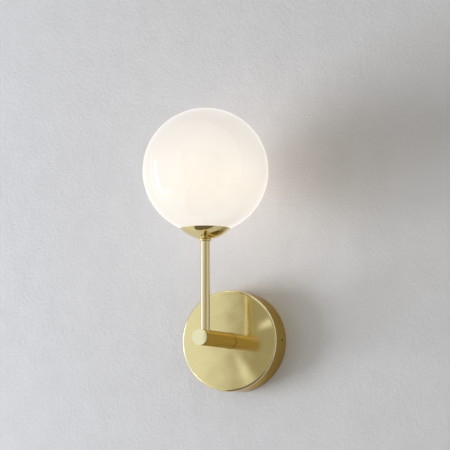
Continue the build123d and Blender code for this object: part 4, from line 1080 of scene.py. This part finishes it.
def set_panels():
    """The rest of the room's light: three panels, and two darker parts that are only mirrored."""
    target = (0, 0, 0.05)
    dim, bright, brightest = (0.36, 0.32, 0.22), (0.94, 0.95, 1.02), (0.8, 0.86, 1.02)
    soft_panel("front_left", (-1.44, -1.42, 0.2), target, 2.1, 2.2, 0.32, dim, bright, brightest)
    warm = (0.65, 0.6, 0.49)
    soft_panel("right", (1.9, -0.8, 0.1), target, 1.1, 2.0, 0.2, warm, warm, warm)
    warm = (0.62, 0.6, 0.54)
    soft_panel("front", (0.08, -2.3, 0.6), target, 0.75, 2.0, 0.2, warm, warm, warm)
    mirror_card("dark_floor", ((0.14, -0.93, -1.1), (0.76, 0, 0), (0, 0.96, 0)), (0.15, 0.13, 0.1))
    mirror_card("far_room", ((0.6, -3.0, 0.5), (3.8, 0, 0), (0, 0, 1.65)), (0.385, 0.35, 0.28))


def set_world(room_light):
    """A pale backdrop for seen, mirrored and refracted rays. All else gets the room's even light."""
    backdrop = (0.82, 0.82, 0.83)
    world = bpy.data.worlds.new("room")
    bpy.context.scene.world = world
    world.use_nodes = True
    nodes, links = world.node_tree.nodes, world.node_tree.links
    nodes.clear()
    ray = nodes.new("ShaderNodeLightPath")
    seen, mirrored = nodes.new("ShaderNodeMath"), nodes.new("ShaderNodeMath")
    seen.operation = mirrored.operation = "MAXIMUM"
    background = nodes.new("ShaderNodeBackground")
    mix = nodes.new("ShaderNodeMix")
    mix.data_type = "RGBA"
    mix.inputs[6].default_value = (*room_light, 1)
    mix.inputs[7].default_value = (*backdrop, 1)
    out = nodes.new("ShaderNodeOutputWorld")
    links.new(ray.outputs["Is Glossy Ray"], mirrored.inputs[0])
    links.new(ray.outputs["Is Transmission Ray"], mirrored.inputs[1])
    links.new(ray.outputs["Is Camera Ray"], seen.inputs[0])
    links.new(mirrored.outputs[0], seen.inputs[1])
    links.new(seen.outputs[0], mix.inputs[0])
    links.new(mix.outputs[2], background.inputs["Color"])
    links.new(background.outputs[0], out.inputs["Surface"])


def set_camera(p):
    """The camera, fitted to the photograph's outlines."""
    data = bpy.data.cameras.new("camera")
    data.lens = p.focal_length
    data.sensor_width = 36
    data.clip_end = 50
    camera = bpy.data.objects.new("camera", data)
    camera.location = p.camera_place
    camera.rotation_euler = (pi / 2 + p.camera_tilt, 0, p.camera_turn)
    bpy.context.scene.collection.objects.link(camera)
    bpy.context.scene.camera = camera


class SCONCE_OT_stage(bpy.types.Operator):
    """Sets the wall, the floor, the lights and the camera"""

    bl_idname = "sconce.stage"
    bl_label = "Stage"

    def execute(self, context):
        p = bpy.context.scene.sconce_stage
        set_wall_and_floor(p)
        set_daylight(tuple(middle("glass_globe")))
        set_lamp_glow()
        set_panels()
        set_world(p.room_light)
        set_camera(p)
        bpy.context.scene.view_settings.view_transform = "Standard"
        return {"FINISHED"}


class SCONCE_PT_panel(bpy.types.Panel):
    bl_label = "Sconce"
    bl_idname = "SCONCE_PT_panel"
    bl_space_type = "VIEW_3D"
    bl_region_type = "UI"
    bl_category = "Sconce"

    def draw(self, context):
        for operator in OPERATORS:
            self.layout.operator(operator.bl_idname)
        for name in ("sconce_sizes", "sconce_finishes", "sconce_stage"):
            group = getattr(context.scene, name)
            box = self.layout.box()
            for key in group.__annotations__:
                box.prop(group, key)


OPERATORS = (
    SCONCE_OT_globe, SCONCE_OT_cup, SCONCE_OT_stem, SCONCE_OT_arm, SCONCE_OT_canopy, SCONCE_OT_rods,
    SCONCE_OT_seat, SCONCE_OT_holder, SCONCE_OT_lamp, SCONCE_OT_wiring, SCONCE_OT_stage,
)
GROUPS = (("sconce_sizes", SconceSizes), ("sconce_finishes", SconceFinishes), ("sconce_stage", SconceStage))


def register():
    for name, group in GROUPS:
        bpy.utils.register_class(group)
        setattr(bpy.types.Scene, name, PointerProperty(type=group))
    for kind in (*OPERATORS, SCONCE_PT_panel):
        bpy.utils.register_class(kind)


def unregister():
    for kind in reversed((*OPERATORS, SCONCE_PT_panel)):
        bpy.utils.unregister_class(kind)
    for name, group in reversed(GROUPS):
        delattr(bpy.types.Scene, name)
        bpy.utils.unregister_class(group)


def main():
    register()
    for operator in OPERATORS:
        group, name = operator.bl_idname.split(".")
        getattr(getattr(bpy.ops, group), name)()


if __name__ == "__main__":
    main()
